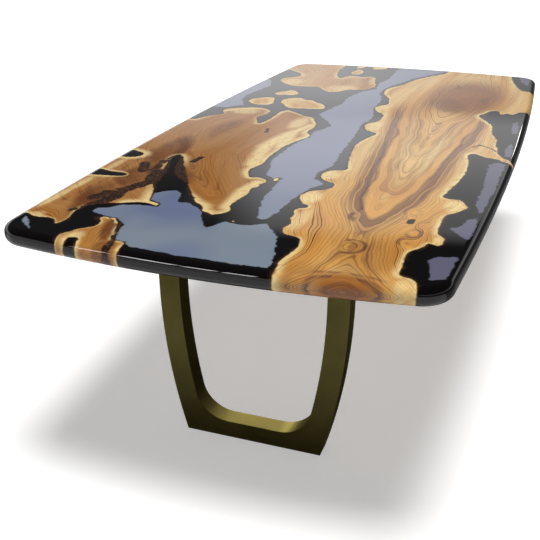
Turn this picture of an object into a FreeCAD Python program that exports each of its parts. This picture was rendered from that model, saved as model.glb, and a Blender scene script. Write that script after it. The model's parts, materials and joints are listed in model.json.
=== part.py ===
"""River dining table: live-edge wood slabs cast in black resin on two welded sheet-metal legs.

Frame: X runs along the table from its near end (-X) to its far end, Y runs across it to the left,
Z points up, and the origin is on the floor under the middle of the top. Lengths are in millimetres.
"""
import FreeCAD
import Part
import math
import os
from types import SimpleNamespace

import Sketcher
from FreeCAD import Vector

SIZES = {
    # top
    "table_length": 2660,
    "table_width": 1266,
    "table_height": 750,
    "top_thickness": 50,
    "side_bow": 38,
    "end_bow": 50,
    "corner_radius": 86,
    "edge_radius": 23,
    # legs
    "leg_inset": 406,
    "leg_depth": 60,
    "leg_top_width": 582,
    "leg_foot_width": 433,
    "leg_shoulder_height": 520,
    "limb_width": 65,
    "base_bar_height": 55,
    "inner_corner_radius": 105,
    "leg_sheet": 4,
    # mount plates between the legs and the top
    "mount_plate_overhang": 19,
    "mount_plate_flange": 35,
    "mount_plate_thickness": 6,
    "mount_bolt_margin": 60,
    "mount_bolt_offset": 17,
    # bolts, washers and threaded inserts
    "bolt_diameter": 8,
    "bolt_head_diameter": 14,
    "bolt_head_height": 4.4,
    "socket_corner_width": 5.8,
    "socket_depth": 2.6,
    "bolt_hole_diameter": 9,
    "washer_diameter": 16,
    "washer_thickness": 1.6,
    "insert_diameter": 12,
    "insert_length": 18,
    "bolt_tip_gap": 0.6,
    "fit_clearance": 0.05,
    # stiffener channels let into the underside
    "stiffener_inset": 494,
    "stiffener_side_inset": 183,
    "stiffener_width": 40,
    "stiffener_height": 20,
    "stiffener_wall": 3,
    "stiffener_bolt_margin": 45,
    "groove_clearance": 0.3,
    # levelling feet
    "foot_inset": 51.5,
    "foot_pad_diameter": 32,
    "foot_pad_height": 3,
    "foot_pad_chamfer": 0.8,
    "foot_gap": 0.3,
    "foot_stud_diameter": 8,
    "foot_stud_length": 34,
    "foot_stud_seat": 1.5,
    "foot_nut_corner_width": 15,
    "foot_nut_height": 9,
    # how far a cutting shape runs past what it cuts
    "overrun": 20,
    # how closely the arcs of a live edge follow the smooth curve through its points
    "live_edge_tolerance": 0.3,
}

STIFFENER_BOLT_COUNT = 4
HEXAGON_SIDES = 6

# Live edges as shares of the table's length, from its near end, and of its width, from its right side.
# An outline that reaches the rim is a list of runs, joined by straight lines outside the top. The first
# and last leg of a run is straight, so that the round edge of the top is crossed by flat faces.
RIGHT_SLAB_SHARES = (
    (
        (-.02, .345), (.02, .35), (.05, .349), (.085, .35), (.092, .36), (.094, .375), (.098, .393),
        (.105, .401), (.112, .406), (.119, .401), (.131, .401), (.137, .408), (.15, .409), (.163, .417),
        (.172, .413), (.175, .402), (.179, .397), (.184, .4), (.187, .413), (.195, .424), (.204, .433),
        (.214, .436), (.224, .431), (.232, .42), (.237, .405), (.243, .391), (.25, .384), (.26, .384),
        (.266, .392), (.27, .408), (.276, .425), (.285, .434), (.295, .437), (.305, .433), (.312, .425),
        (.316, .408), (.32, .393), (.326, .39), (.335, .394), (.35, .402), (.37, .41), (.4, .42),
        (.43, .427), (.455, .423), (.475, .414), (.49, .406), (.5, .405), (.506, .42), (.512, .437),
        (.525, .452), (.54, .458), (.555, .45), (.565, .436), (.58, .431), (.6, .434), (.615, .442),
        (.62, .452), (.628, .465), (.645, .48), (.66, .482), (.67, .472), (.68, .458), (.7, .462),
        (.72, .47), (.74, .49), (.755, .504), (.775, .512), (.8, .508), (.815, .497), (.83, .482),
        (.85, .47), (.88, .455), (.905, .435), (.925, .415), (.945, .39), (.965, .365), (1.02, .345),
    ),
    (
        (1.02, .125), (.96, .113), (.94, .105), (.92, .097), (.9, .087), (.88, .076), (.865, .066),
        (.856, .05), (.838, -.02),
    ),
    (
        (.705, -.02), (.695, .03), (.685, .045), (.675, .058), (.68, .072), (.672, .085), (.68, .098),
        (.692, .106), (.69, .12), (.672, .135), (.655, .15), (.645, .147), (.635, .135), (.622, .12),
        (.61, .108), (.6, .1), (.585, .094), (.565, .09), (.545, .083), (.53, .072), (.515, .064),
        (.5, .064), (.485, .058), (.47, .053), (.455, .049), (.445, .04), (.434, .03), (.412, -.02),
    ),
    (
        (.406, -.02), (.42, .034), (.427, .05), (.431, .075), (.437, .095), (.442, .11), (.435, .119),
        (.42, .116), (.4, .11), (.38, .105), (.36, .103), (.34, .105),
        (.32, .109), (.3, .114), (.285, .12), (.27, .124), (.26, .125), (.257, .118), (.256, .105),
        (.257, .09), (.25, .075), (.24, .066), (.23, .063), (.222, .072), (.213, .081), (.208, .09),
        (.2, .098), (.19, .101), (.175, .1), (.16, .1), (.15, .097), (.143, .089), (.139, .08),
        (.128, .078), (.119, .08), (.116, .09), (.119, .103), (.11, .11), (.101, .12), (.093, .131),
        (.08, .133), (.06, .13), (.045, .128), (.038, .125), (.036, .112), (.033, .1), (.026, .09),
        (-.02, .065),
    ),
)
LEFT_SLAB_SHARES = (
    (
        (.068, 1.02), (.062, .945), (.057, .925), (.058, .905), (.058, .885), (.052, .87),
        (.046, .859), (.053, .853), (.065, .851), (.075, .857), (.085, .862), (.097, .861), (.104, .857),
        (.11, .845), (.115, .833), (.12, .815), (.122, .8), (.126, .785), (.131, .765), (.133, .745),
        (.13, .725), (.128, .712), (.133, .71), (.138, .722), (.141, .74), (.15, .748), (.16, .755),
        (.172, .765), (.185, .778), (.2, .797), (.22, .805), (.25, .82), (.28, .838), (.303, .844),
        (.312, .838), (.304, .826), (.29, .815), (.275, .8), (.26, .787), (.24, .765), (.225, .735),
        (.205, .712), (.19, .695), (.175, .675), (.162, .655), (.152, .64), (.146, .622), (.137, .61),
        (.129, .602), (.127, .588), (.123, .577), (.125, .563), (.132, .552), (.14, .546), (.15, .553),
        (.165, .558), (.18, .555), (.195, .551), (.21, .555), (.219, .555), (.225, .547), (.233, .548),
        (.242, .543), (.251, .546), (.256, .56), (.258, .577), (.256, .59), (.262, .6), (.275, .612),
        (.29, .613), (.31, .603), (.33, .606), (.36, .609), (.385, .606), (.405, .601), (.42, .592),
        (.435, .582), (.445, .574), (.457, .573), (.465, .58), (.475, .592), (.485, .593), (.5, .589),
        (.515, .592), (.53, .603), (.545, .617), (.558, .633), (.562, .65), (.568, .672), (.578, .695),
        (.587, .72), (.59, .738), (.582, .75), (.565, .755), (.545, .752), (.525, .753), (.508, .758),
        (.5, .764), (.507, .772), (.52, .785), (.535, .793), (.55, .785), (.565, .78), (.58, .787),
        (.588, .805), (.592, .83), (.59, .86), (.585, .885), (.578, .91), (.57, .925), (.558, .933),
        (.548, .925), (.538, .914), (.528, .925), (.52, .94), (.505, .955), (.492, .968), (.489, 1.02),
    ),
    (
        (.315, 1.02), (.312, .972), (.308, .955), (.303, .937), (.293, .933), (.285, .945),
        (.282, .97), (.279, 1.02),
    ),
    (
        (.228, 1.02), (.225, .965), (.2215, .945), (.2205, .915), (.219, .893), (.213, .887),
        (.208, .905), (.205, .935), (.203, .965), (.2, 1.02),
    ),
)
NEAR_CORNER_SLAB_SHARES = (
    (
        (-.02, .807), (.025, .818), (.031, .81), (.038, .802), (.045, .793), (.052, .779),
        (.06, .775), (.068, .78), (.075, .789), (.082, .785), (.08, .77), (.081, .758), (.074, .745),
        (.069, .73), (.06, .723), (.05, .718), (.042, .71), (.033, .705), (.027, .695), (.027, .68),
        (.022, .668), (-.02, .655),
    ),
    (
        (-.02, .752), (.0165, .768), (.02, .778), (.017, .789), (-.02, .791),
    ),
)
FAR_LEFT_SLAB_SHARES = (
    (
        (1.02, .775), (.955, .765), (.93, .765), (.905, .757), (.885, .747), (.868, .733),
        (.86, .722), (.866, .714), (.88, .706), (.888, .69), (.885, .665), (.884, .645), (.892, .625),
        (.89, .608), (.875, .592), (.855, .583), (.838, .575), (.822, .563), (.805, .562), (.788, .57),
        (.775, .59), (.77, .615), (.765, .64), (.75, .655), (.742, .672), (.74, .692), (.747, .712),
        (.757, .73), (.768, .745), (.772, .765), (.768, .79), (.766, .815), (.768, .845), (.775, .875),
        (.785, .895), (.8, .915), (.815, .925), (.83, .915), (.84, .895), (.855, .88), (.87, .885),
        (.885, .905), (.895, .93), (.906, .952), (.91, 1.02),
    ),
    ((1.02, 1.02),),
)
END_BURL_SLICE_SHARES = (
    ((1.02, .6), (.985, .6), (.966, .615), (.962, .64), (.975, .655), (1.02, .665)),
)
END_WOOD_STRIP_SHARES = (
    ((1.02, .705), (.985, .692), (.968, .692), (.96, .705), (.975, .718), (1.02, .735)),
)
# Pieces that lie free in the resin are closed loops.
ROUND_BURL_SLICE_SHARES = (
    (.612, .845), (.612, .87), (.622, .893), (.636, .908), (.65, .9), (.658, .885), (.667, .865),
    (.668, .845), (.655, .828), (.64, .82), (.624, .814), (.614, .828),
)
DOUBLE_BURL_SLICE_SHARES = (
    (.605, .735), (.61, .755), (.622, .775), (.637, .795), (.652, .803), (.664, .8), (.673, .785),
    (.679, .765), (.678, .745), (.67, .728), (.67, .71), (.662, .69), (.653, .668), (.645, .65),
    (.632, .637), (.617, .635), (.612, .655), (.61, .68), (.608, .705),
)
SMALL_BURL_SLICE_SHARES = (
    (.69, .83), (.69, .85), (.7, .863), (.712, .855), (.722, .838), (.732, .825), (.728, .805),
    (.715, .785), (.702, .783), (.693, .8),
)
FAR_BURL_SLICE_SHARES = (
    (.903, .7), (.915, .712), (.935, .708), (.95, .695), (.945, .68), (.93, .667), (.912, .668),
    (.902, .68),
)
LARGE_CHIP_SHARES = (
    (.249, .527), (.252, .533), (.258, .534), (.263, .53), (.263, .525), (.257, .52), (.251, .521),
)
TINY_CHIP_SHARES = ((.109, .515), (.112, .52), (.116, .516), (.113, .511))
# One place inside each body of resin, which the slabs part from one another.
RESIN_PLACE_SHARES = {
    "river_resin": ((.5, .5),),
    "near_right_resin": ((.3, .06),),
    "middle_right_resin": ((.55, .04),),
    "far_right_resin": ((.95, .06),),
    "rim_resin_fills": ((.213, .95), (.298, .965), (.01, .779)),
}


class Size:
    """A length with the spreadsheet formula it comes from, so one sum gives both a number and a binding."""

    def __init__(self, formula, number):
        self.formula = formula
        self.number = number

    @staticmethod
    def of(value):
        return value if isinstance(value, Size) else Size(str(value), value)

    def __add__(self, other):
        other = Size.of(other)
        return Size(f"({self.formula} + {other.formula})", self.number + other.number)

    def __sub__(self, other):
        other = Size.of(other)
        return Size(f"({self.formula} - {other.formula})", self.number - other.number)

    def __mul__(self, other):
        other = Size.of(other)
        return Size(f"({self.formula} * {other.formula})", self.number * other.number)

    __rmul__ = __mul__

    def __truediv__(self, other):
        other = Size.of(other)
        return Size(f"({self.formula} / {other.formula})", self.number / other.number)

    def __neg__(self):
        return self * -1


doc = FreeCAD.newDocument("RiverTable")
sheet = doc.addObject("Spreadsheet::Sheet", "Sizes")
for row, (alias, number) in enumerate(SIZES.items(), start=1):
    sheet.set(f"A{row}", alias)
    sheet.set(f"B{row}", str(number))
    sheet.setAlias(f"B{row}", alias)
doc.recompute()

size = SimpleNamespace(**{alias: Size(f"Sizes.{alias}", float(sheet.get(alias))) for alias in SIZES})
ZERO = Size("0", 0)

# Levels above the floor and lengths that several pieces share
underside = size.table_height - size.top_thickness
leg_top = underside - size.mount_plate_thickness
sole = size.foot_pad_height + size.foot_gap
sole_top = sole + size.leg_sheet
half_top = size.leg_top_width / 2
half_foot = size.leg_foot_width / 2
shoulder_rise = size.leg_shoulder_height - sole
taper = half_top - half_foot
side_radius = (shoulder_rise * shoulder_rise + taper * taper) / (2 * taper)
side_centre = half_top - side_radius
band_depth = size.leg_depth - 2 * size.leg_sheet
groove_depth = size.stiffener_height + size.groove_clearance
leg_place = size.table_length / 2 - size.leg_inset
stiffener_place = leg_place - size.stiffener_inset
stiffener_length = size.table_width - 2 * size.stiffener_side_inset
mount_plate_length = size.leg_top_width + 2 * size.mount_plate_overhang
mount_plate_width = size.leg_depth + 2 * size.mount_plate_flange

sub_parts = []


def keep(piece, label):
    """Name a finished piece and list it for writing."""
    piece.Label = label
    sub_parts.append(piece)
    return piece


def bind(thing, name, length):
    """Tie one property of an object to a length's formula."""
    thing.setExpression(name, length.formula)


def new_body(name):
    """Start a body that may hold several separate solids."""
    body = doc.addObject("PartDesign::Body", name)
    body.AllowCompound = True
    return body


def new_sketch(body, name, plane, level):
    """Add a sketch on one of a body's origin planes, moved along the plane's normal to a level."""
    sketch = body.newObject("Sketcher::SketchObject", name)
    support = next(feature for feature in body.Origin.OriginFeatures if feature.Role == plane)
    sketch.AttachmentSupport = [(support, "")]
    sketch.MapMode = "FlatFace"
    bind(sketch, "AttachmentOffset.Base.z", level)
    return sketch


def dimension(sketch, kind, references, length):
    """Add a driving dimension to a sketch and bind it."""
    index = sketch.addConstraint(Sketcher.Constraint(kind, *references, length.number))
    bind(sketch, f"Constraints[{index}]", length)


def place_point(sketch, element, end, across, up):
    """Fix one point of a sketch element by its distances from the sketch's origin."""
    dimension(sketch, "DistanceX", (-1, 1, element, end), across)
    dimension(sketch, "DistanceY", (-1, 1, element, end), up)


def point(across, up):
    """A sketch point from two lengths."""
    return Vector(across.number, up.number, 0)


def draw_line(sketch, start, end):
    """Draw a line between two points."""
    return sketch.addGeometry(Part.LineSegment(start, end))


def draw_arc(sketch, centre, radius, start, end):
    """Draw an arc anticlockwise from the direction of one point to that of another."""
    from_angle = math.atan2(start.y - centre.y, start.x - centre.x)
    to_angle = math.atan2(end.y - centre.y, end.x - centre.x)
    if to_angle < from_angle:
        to_angle += math.tau
    circle = Part.Circle(centre, Vector(0, 0, 1), radius)
    return sketch.addGeometry(Part.ArcOfCircle(circle, from_angle, to_angle))


def join(sketch, *pairs):
    """Make pairs of sketch points meet, each given as (element, end, element, end)."""
    for pair in pairs:
        sketch.addConstraint(Sketcher.Constraint("Coincident", *pair))


def level_lines(sketch, *lines):
    """Keep lines horizontal in their sketch."""
    for line in lines:
        sketch.addConstraint(Sketcher.Constraint("Horizontal", line))


def draw_rectangle(sketch, centre, width, height):
    """Draw a rectangle whose two opposite corners are placed by named lengths."""
    left = centre[0] - width / 2
    right = centre[0] + width / 2
    low = centre[1] - height / 2
    high = centre[1] + height / 2
    corners = [point(left, low), point(right, low), point(right, high), point(left, high)]
    lines = [draw_line(sketch, corners[i], corners[(i + 1) % len(corners)]) for i in range(len(corners))]
    for line, following in zip(lines, lines[1:] + lines[:1]):
        join(sketch, (line, 2, following, 1))
    level_lines(sketch, lines[0], lines[2])
    for line in (lines[1], lines[3]):
        sketch.addConstraint(Sketcher.Constraint("Vertical", line))
    place_point(sketch, lines[0], 1, left, low)
    place_point(sketch, lines[2], 1, right, high)


def draw_circles(sketch, places, diameter):
    """Draw equal circles at places, which are pairs of lengths."""
    for across, up in places:
        circle = sketch.addGeometry(Part.Circle(point(across, up), Vector(0, 0, 1), diameter.number / 2))
        place_point(sketch, circle, 3, across, up)
        dimension(sketch, "Diameter", (circle,), diameter)


def draw_hexagons(sketch, places, corner_diameter):
    """Draw regular hexagons at places, each on a construction circle through its corners."""
    for across, up in places:
        centre = point(across, up)
        reach = corner_diameter.number / 2
        circle = sketch.addGeometry(Part.Circle(centre, Vector(0, 0, 1), reach), True)
        place_point(sketch, circle, 3, across, up)
        dimension(sketch, "Diameter", (circle,), corner_diameter)
        turns = [math.tau * step / HEXAGON_SIDES for step in range(HEXAGON_SIDES + 1)]
        corners = [centre + Vector(math.cos(turn), math.sin(turn), 0) * reach for turn in turns]
        lines = [draw_line(sketch, start, end) for start, end in zip(corners, corners[1:])]
        for line, following in zip(lines, lines[1:] + lines[:1]):
            join(sketch, (line, 2, following, 1))
            sketch.addConstraint(Sketcher.Constraint("PointOnObject", line, 1, circle))
        for line in lines[1:]:
            sketch.addConstraint(Sketcher.Constraint("Equal", lines[0], line))
        level_lines(sketch, lines[1])


def add_pad(body, sketch, length):
    """Raise a sketch along its normal."""
    pad = body.newObject("PartDesign::Pad", "Pad")
    pad.Profile = sketch
    bind(pad, "Length", length)
    doc.recompute()
    return pad


def add_pocket(body, sketch, depth):
    """Cut a sketch into the body along its normal, and see that it takes material away."""
    before = body.Shape.Volume
    pocket = body.newObject("PartDesign::Pocket", "Pocket")
    pocket.Profile = sketch
    pocket.Reversed = True
    bind(pocket, "Length", depth)
    doc.recompute()
    if body.Shape.Volume >= before:
        raise RuntimeError(f"a pocket in {body.Name} cut nothing")
    return pocket


def add_fillet(body, feature, edges, radius):
    """Round the edges of a feature that are given by their numbers."""
    fillet = body.newObject("PartDesign::Fillet", "Fillet")
    fillet.Base = (feature, [f"Edge{number}" for number in edges])
    bind(fillet, "Radius", radius)
    doc.recompute()
    return fillet


def mount_places(side):
    """Bolt places on one leg's mount plate, three along each long edge."""
    reach = size.leg_depth / 2 + size.mount_bolt_offset
    rows = (side * leg_place - reach, side * leg_place + reach)
    pitch = mount_plate_length / 2 - size.mount_bolt_margin
    return [(row, step * pitch) for row in rows for step in (-1, 0, 1)]


def stiffener_places(side):
    """Bolt places along one stiffener, evenly spaced about its middle."""
    steps = [index - (STIFFENER_BOLT_COUNT - 1) / 2 for index in range(STIFFENER_BOLT_COUNT)]
    pitch = (stiffener_length - 2 * size.stiffener_bolt_margin) / (STIFFENER_BOLT_COUNT - 1)
    return [(side * stiffener_place, step * pitch) for step in steps]


def make_top_blank():
    """The whole top as one board: bowed outline, round edge, insert bores and stiffener grooves."""
    body = new_body("TopBlank")
    corner_x = size.table_length / 2 - size.end_bow
    side_bow = size.side_bow
    corner_y = size.table_width / 2 - side_bow
    end_radius = (corner_y * corner_y + size.end_bow * size.end_bow) / (2 * size.end_bow)
    long_radius = (corner_x * corner_x + side_bow * side_bow) / (2 * side_bow)
    end_centre = size.table_length / 2 - end_radius
    long_centre = size.table_width / 2 - long_radius

    sketch = new_sketch(body, "TopOutline", "XY_Plane", underside)
    signs = ((1, -1), (1, 1), (-1, 1), (-1, -1))
    corners = [(corner_x * sign_x, corner_y * sign_y) for sign_x, sign_y in signs]
    centres = [(end_centre, ZERO), (ZERO, long_centre), (-end_centre, ZERO), (ZERO, -long_centre)]
    radii = [end_radius, long_radius, end_radius, long_radius]
    arcs = []
    for start, end, centre, radius in zip(corners, corners[1:] + corners[:1], centres, radii):
        arcs.append(draw_arc(sketch, point(*centre), radius.number, point(*start), point(*end)))
    for arc, following in zip(arcs, arcs[1:] + arcs[:1]):
        join(sketch, (arc, 2, following, 1))
    for arc, corner, radius in zip(arcs, corners, radii):
        place_point(sketch, arc, 1, *corner)
        dimension(sketch, "Radius", (arc,), radius)

    pad = add_pad(body, sketch, size.top_thickness)
    upright = [n for n, edge in enumerate(pad.Shape.Edges, 1) if edge.BoundBox.ZLength > edge.Length / 2]
    rounded = add_fillet(body, pad, upright, size.corner_radius)
    flat = [n for n, edge in enumerate(rounded.Shape.Edges, 1) if edge.BoundBox.ZLength < edge.Length / 2]
    add_fillet(body, rounded, flat, size.edge_radius)

    bore = size.insert_diameter + 2 * size.fit_clearance
    sketch = new_sketch(body, "MountBores", "XY_Plane", underside)
    draw_circles(sketch, mount_places(-1) + mount_places(1), bore)
    add_pocket(body, sketch, size.insert_length)
    for side in (-1, 1):
        sketch = new_sketch(body, "Groove", "XY_Plane", underside)
        width = size.stiffener_width + 2 * size.groove_clearance
        length = stiffener_length + 2 * size.groove_clearance
        draw_rectangle(sketch, (side * stiffener_place, ZERO), width, length)
        add_pocket(body, sketch, groove_depth)
    sketch = new_sketch(body, "StiffenerBores", "XY_Plane", underside)
    draw_circles(sketch, stiffener_places(-1) + stiffener_places(1), bore)
    add_pocket(body, sketch, size.insert_length + groove_depth)
    return body


def share_point(share, level):
    """The place of an outline share on the top, at a level."""
    along = (share[0] - 1 / 2) * size.table_length.number
    across = (share[1] - 1 / 2) * size.table_width.number
    return Vector(along, across, level)


def smooth_edges(curve):
    """Plain arcs that follow a curve closely."""
    return [arc.toShape() for arc in curve.toBiArcs(size.live_edge_tolerance.number)]


def loop_edges(points):
    """Smooth closed edges through points."""
    curve = Part.BSplineCurve()
    curve.interpolate(Points=points, PeriodicFlag=True)
    curve.setNotPeriodic()
    return smooth_edges(curve)


def run_edges(points):
    """A straight leg, smooth edges through the points between, and a straight leg."""
    curve = Part.BSplineCurve()
    curve.interpolate(Points=points[1:-1])
    first = Part.LineSegment(points[0], points[1]).toShape()
    last = Part.LineSegment(points[-2], points[-1]).toShape()
    return [first, *smooth_edges(curve), last]


def make_cutter(name, outline, closed):
    """An upright prism with a live-edge outline that runs through the whole top."""
    low = underside.number - size.overrun.number
    if closed:
        edges = loop_edges([share_point(share, low) for share in outline])
    else:
        edges = []
        runs = [[share_point(share, low) for share in run] for run in outline]
        for run, following in zip(runs, runs[1:] + runs[:1]):
            if len(run) > 1:
                edges.extend(run_edges(run))
            edges.append(Part.LineSegment(run[-1], following[0]).toShape())
    rise = Vector(0, 0, size.top_thickness.number + 2 * size.overrun.number)
    cutter = doc.addObject("Part::Feature", name)
    cutter.Shape = Part.Face(Part.Wire(edges)).extrude(rise)
    return cutter


def make_wood(label, blank, cutters):
    """One wood node: the part of the blank inside its cutters."""
    wood = doc.addObject("Part::Common", "Wood")
    wood.Base = blank
    wood.Tool = cutters[0] if len(cutters) == 1 else group("Chips", cutters)
    return keep(wood, label)


def group(name, shapes):
    """Several objects as one compound."""
    compound = doc.addObject("Part::Compound", name)
    compound.Links = shapes
    return compound


def make_top():
    """The wood slabs and the resin casting that fills the rest of the board."""
    blank = make_top_blank()
    rim_pieces = {
        "right_slab": RIGHT_SLAB_SHARES,
        "left_slab": LEFT_SLAB_SHARES,
        "near_corner_slab": NEAR_CORNER_SLAB_SHARES,
        "far_left_slab": FAR_LEFT_SLAB_SHARES,
        "end_burl_slice": END_BURL_SLICE_SHARES,
        "end_wood_strip": END_WOOD_STRIP_SHARES,
    }
    loops = {
        "round_burl_slice": (ROUND_BURL_SLICE_SHARES,),
        "double_burl_slice": (DOUBLE_BURL_SLICE_SHARES,),
        "small_burl_slice": (SMALL_BURL_SLICE_SHARES,),
        "far_burl_slice": (FAR_BURL_SLICE_SHARES,),
        "river_chips": (LARGE_CHIP_SHARES, TINY_CHIP_SHARES),
    }
    cutters = []
    for label, outline in rim_pieces.items():
        cutters.append(make_cutter("Cutter", outline, False))
        make_wood(label, blank, cutters[-1:])
    for label, outlines in loops.items():
        cut = [make_cutter("Cutter", outline, True) for outline in outlines]
        make_wood(label, blank, cut)
        cutters.extend(cut)
    casting = doc.addObject("Part::Cut", "Casting")
    casting.Base = blank
    casting.Tool = group("AllCutters", cutters)
    doc.recompute()
    make_resin(casting)


def make_resin(casting):
    """The separate bodies of resin, each kept under the name of the place nearest to it."""
    level = underside.number + size.top_thickness.number / 2
    bodies = {label: [] for label in RESIN_PLACE_SHARES}
    for solid in casting.Shape.Solids:
        gaps = {}
        for label, shares in RESIN_PLACE_SHARES.items():
            places = Part.Compound([Part.Vertex(share_point(share, level)) for share in shares])
            gaps[label] = solid.distToShape(places)[0]
        bodies[min(gaps, key=gaps.get)].append(solid)
    for label, solids in bodies.items():
        resin = doc.addObject("Part::Feature", "Resin")
        resin.Shape = solids[0] if len(solids) == 1 else Part.Compound(solids)
        keep(resin, label)


def make_inserts(label, places, level):
    """Threaded inserts that stand in their bores from a level upwards."""
    body = new_body("Inserts")
    sketch = new_sketch(body, "Sleeves", "XY_Plane", level)
    draw_circles(sketch, places, size.insert_diameter)
    draw_circles(sketch, places, size.bolt_diameter + 2 * size.fit_clearance)
    add_pad(body, sketch, size.insert_length)
    keep(body, label)


def make_bolts(label, places, seat, insert_level):
    """Button-head bolts whose heads bear upwards against a seat and whose tips end inside their inserts."""
    body = new_body("Bolts")
    tip = insert_level + size.insert_length - size.bolt_tip_gap
    head_level = seat - size.bolt_head_height
    sketch = new_sketch(body, "Heads", "XY_Plane", head_level)
    draw_circles(sketch, places, size.bolt_head_diameter)
    add_pad(body, sketch, size.bolt_head_height)
    sketch = new_sketch(body, "Shanks", "XY_Plane", seat)
    draw_circles(sketch, places, size.bolt_diameter)
    add_pad(body, sketch, tip - seat)
    sketch = new_sketch(body, "Sockets", "XY_Plane", head_level)
    draw_hexagons(sketch, places, size.socket_corner_width)
    add_pocket(body, sketch, size.socket_depth)
    keep(body, label)


def make_washers(label, places, level):
    """Flat washers that lie below a level."""
    body = new_body("Washers")
    sketch = new_sketch(body, "Rings", "XY_Plane", level - size.washer_thickness)
    draw_circles(sketch, places, size.washer_diameter)
    draw_circles(sketch, places, size.bolt_hole_diameter)
    add_pad(body, sketch, size.washer_thickness)
    keep(body, label)


def fillet_points(inside_radius, corner_radius, floor_level):
    """Centre and touching points of the round corner between a limb's inner face and the base bar."""
    centre_y = floor_level + corner_radius
    drop = size.leg_shoulder_height.number - centre_y
    reach = inside_radius - corner_radius
    centre = Vector(side_centre.number + math.sqrt(reach * reach - drop * drop), centre_y, 0)
    hub = point(side_centre, size.leg_shoulder_height)
    limb = centre + (centre - hub).normalize() * corner_radius
    return SimpleNamespace(centre=centre, floor=Vector(centre.x, floor_level, 0), limb=limb)


def draw_inner_path(sketch, offset):
    """Draw half the leg's inner edge, top to middle, moved by an offset into the metal."""
    radius = side_radius - size.limb_width + offset
    corner = size.inner_corner_radius + offset
    floor_level = sole + size.base_bar_height - offset
    half = half_top - size.limb_width + offset
    turn = fillet_points(radius.number, corner.number, floor_level.number)
    hub = point(side_centre, size.leg_shoulder_height)
    shoulder = point(half, size.leg_shoulder_height)
    upright = draw_line(sketch, point(half, leg_top), shoulder)
    limb = draw_arc(sketch, hub, radius.number, turn.limb, shoulder)
    bend = draw_arc(sketch, turn.centre, corner.number, turn.floor, turn.limb)
    floor = draw_line(sketch, turn.floor, Vector(0, floor_level.number, 0))
    sketch.addConstraint(Sketcher.Constraint("Tangent", upright, 2, limb, 2))
    sketch.addConstraint(Sketcher.Constraint("Tangent", limb, 1, bend, 2))
    sketch.addConstraint(Sketcher.Constraint("Tangent", bend, 1, floor, 1))
    level_lines(sketch, floor)
    place_point(sketch, upright, 1, half, leg_top)
    place_point(sketch, limb, 3, side_centre, size.leg_shoulder_height)
    dimension(sketch, "Radius", (bend,), corner)
    place_point(sketch, floor, 2, ZERO, floor_level)
    return upright, floor


def draw_outer_path(sketch, side, offset, low):
    """Draw one outer side of the leg, top to bottom, moved by an offset into the metal."""
    half = side * (half_top - offset)
    radius = side_radius - offset
    hub = point(side * side_centre, size.leg_shoulder_height)
    shoulder = point(half, size.leg_shoulder_height)
    drop = size.leg_shoulder_height.number - low.number
    run = math.sqrt(radius.number * radius.number - drop * drop)
    foot = Vector(side * (side_centre.number + run), low.number, 0)
    upright = draw_line(sketch, point(half, leg_top), shoulder)
    if side > 0:
        limb = draw_arc(sketch, hub, radius.number, foot, shoulder)
        upper, lower = 2, 1
    else:
        limb = draw_arc(sketch, hub, radius.number, shoulder, foot)
        upper, lower = 1, 2
    sketch.addConstraint(Sketcher.Constraint("Tangent", upright, 2, limb, upper))
    place_point(sketch, upright, 1, half, leg_top)
    place_point(sketch, limb, 3, side * side_centre, size.leg_shoulder_height)
    dimension(sketch, "DistanceY", (-1, 1, limb, lower), low)
    return upright, limb, lower, foot


def make_plate(label, level):
    """One face of the leg: a flat U cut from sheet, drawn as its right half and mirrored."""
    body = new_body("Plate")
    sketch = new_sketch(body, "HalfOutline", "YZ_Plane", level)
    inner_top, inner_floor = draw_inner_path(sketch, ZERO)
    outer_top, limb, lower, foot = draw_outer_path(sketch, 1, ZERO, sole)
    rim = draw_line(sketch, point(half_top - size.limb_width, leg_top), point(half_top, leg_top))
    base = draw_line(sketch, foot, point(ZERO, sole))
    middle = draw_line(sketch, point(ZERO, sole), point(ZERO, sole + size.base_bar_height))
    join(sketch, (rim, 1, inner_top, 1), (rim, 2, outer_top, 1), (base, 1, limb, lower))
    join(sketch, (base, 2, middle, 1), (middle, 2, inner_floor, 2))
    level_lines(sketch, base)
    sketch.addConstraint(Sketcher.Constraint("Vertical", middle))
    pad = add_pad(body, sketch, size.leg_sheet)
    mirror_half(body, pad)
    keep(body, label)


def mirror_half(body, pad):
    """Mirror a padded half to the other side of the table's middle plane."""
    mirrored = body.newObject("PartDesign::Mirrored", "Mirrored")
    mirrored.Originals = [pad]
    plane = next(feature for feature in body.Origin.OriginFeatures if feature.Role == "XZ_Plane")
    mirrored.MirrorPlane = (plane, [""])
    body.Tip = mirrored
    doc.recompute()


def make_inner_band(label, level):
    """The bent strip that closes the leg's inner edge between its two plates."""
    body = new_body("InnerBand")
    sketch = new_sketch(body, "HalfStrip", "YZ_Plane", level)
    face_top, face_floor = draw_inner_path(sketch, ZERO)
    back_top, back_floor = draw_inner_path(sketch, size.leg_sheet)
    inner_half = half_top - size.limb_width
    floor_level = sole + size.base_bar_height
    top = draw_line(sketch, point(inner_half, leg_top), point(inner_half + size.leg_sheet, leg_top))
    middle = draw_line(sketch, point(ZERO, floor_level), point(ZERO, floor_level - size.leg_sheet))
    join(sketch, (top, 1, face_top, 1), (top, 2, back_top, 1))
    join(sketch, (middle, 1, face_floor, 2), (middle, 2, back_floor, 2))
    pad = add_pad(body, sketch, band_depth)
    mirror_half(body, pad)
    keep(body, label)


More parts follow.
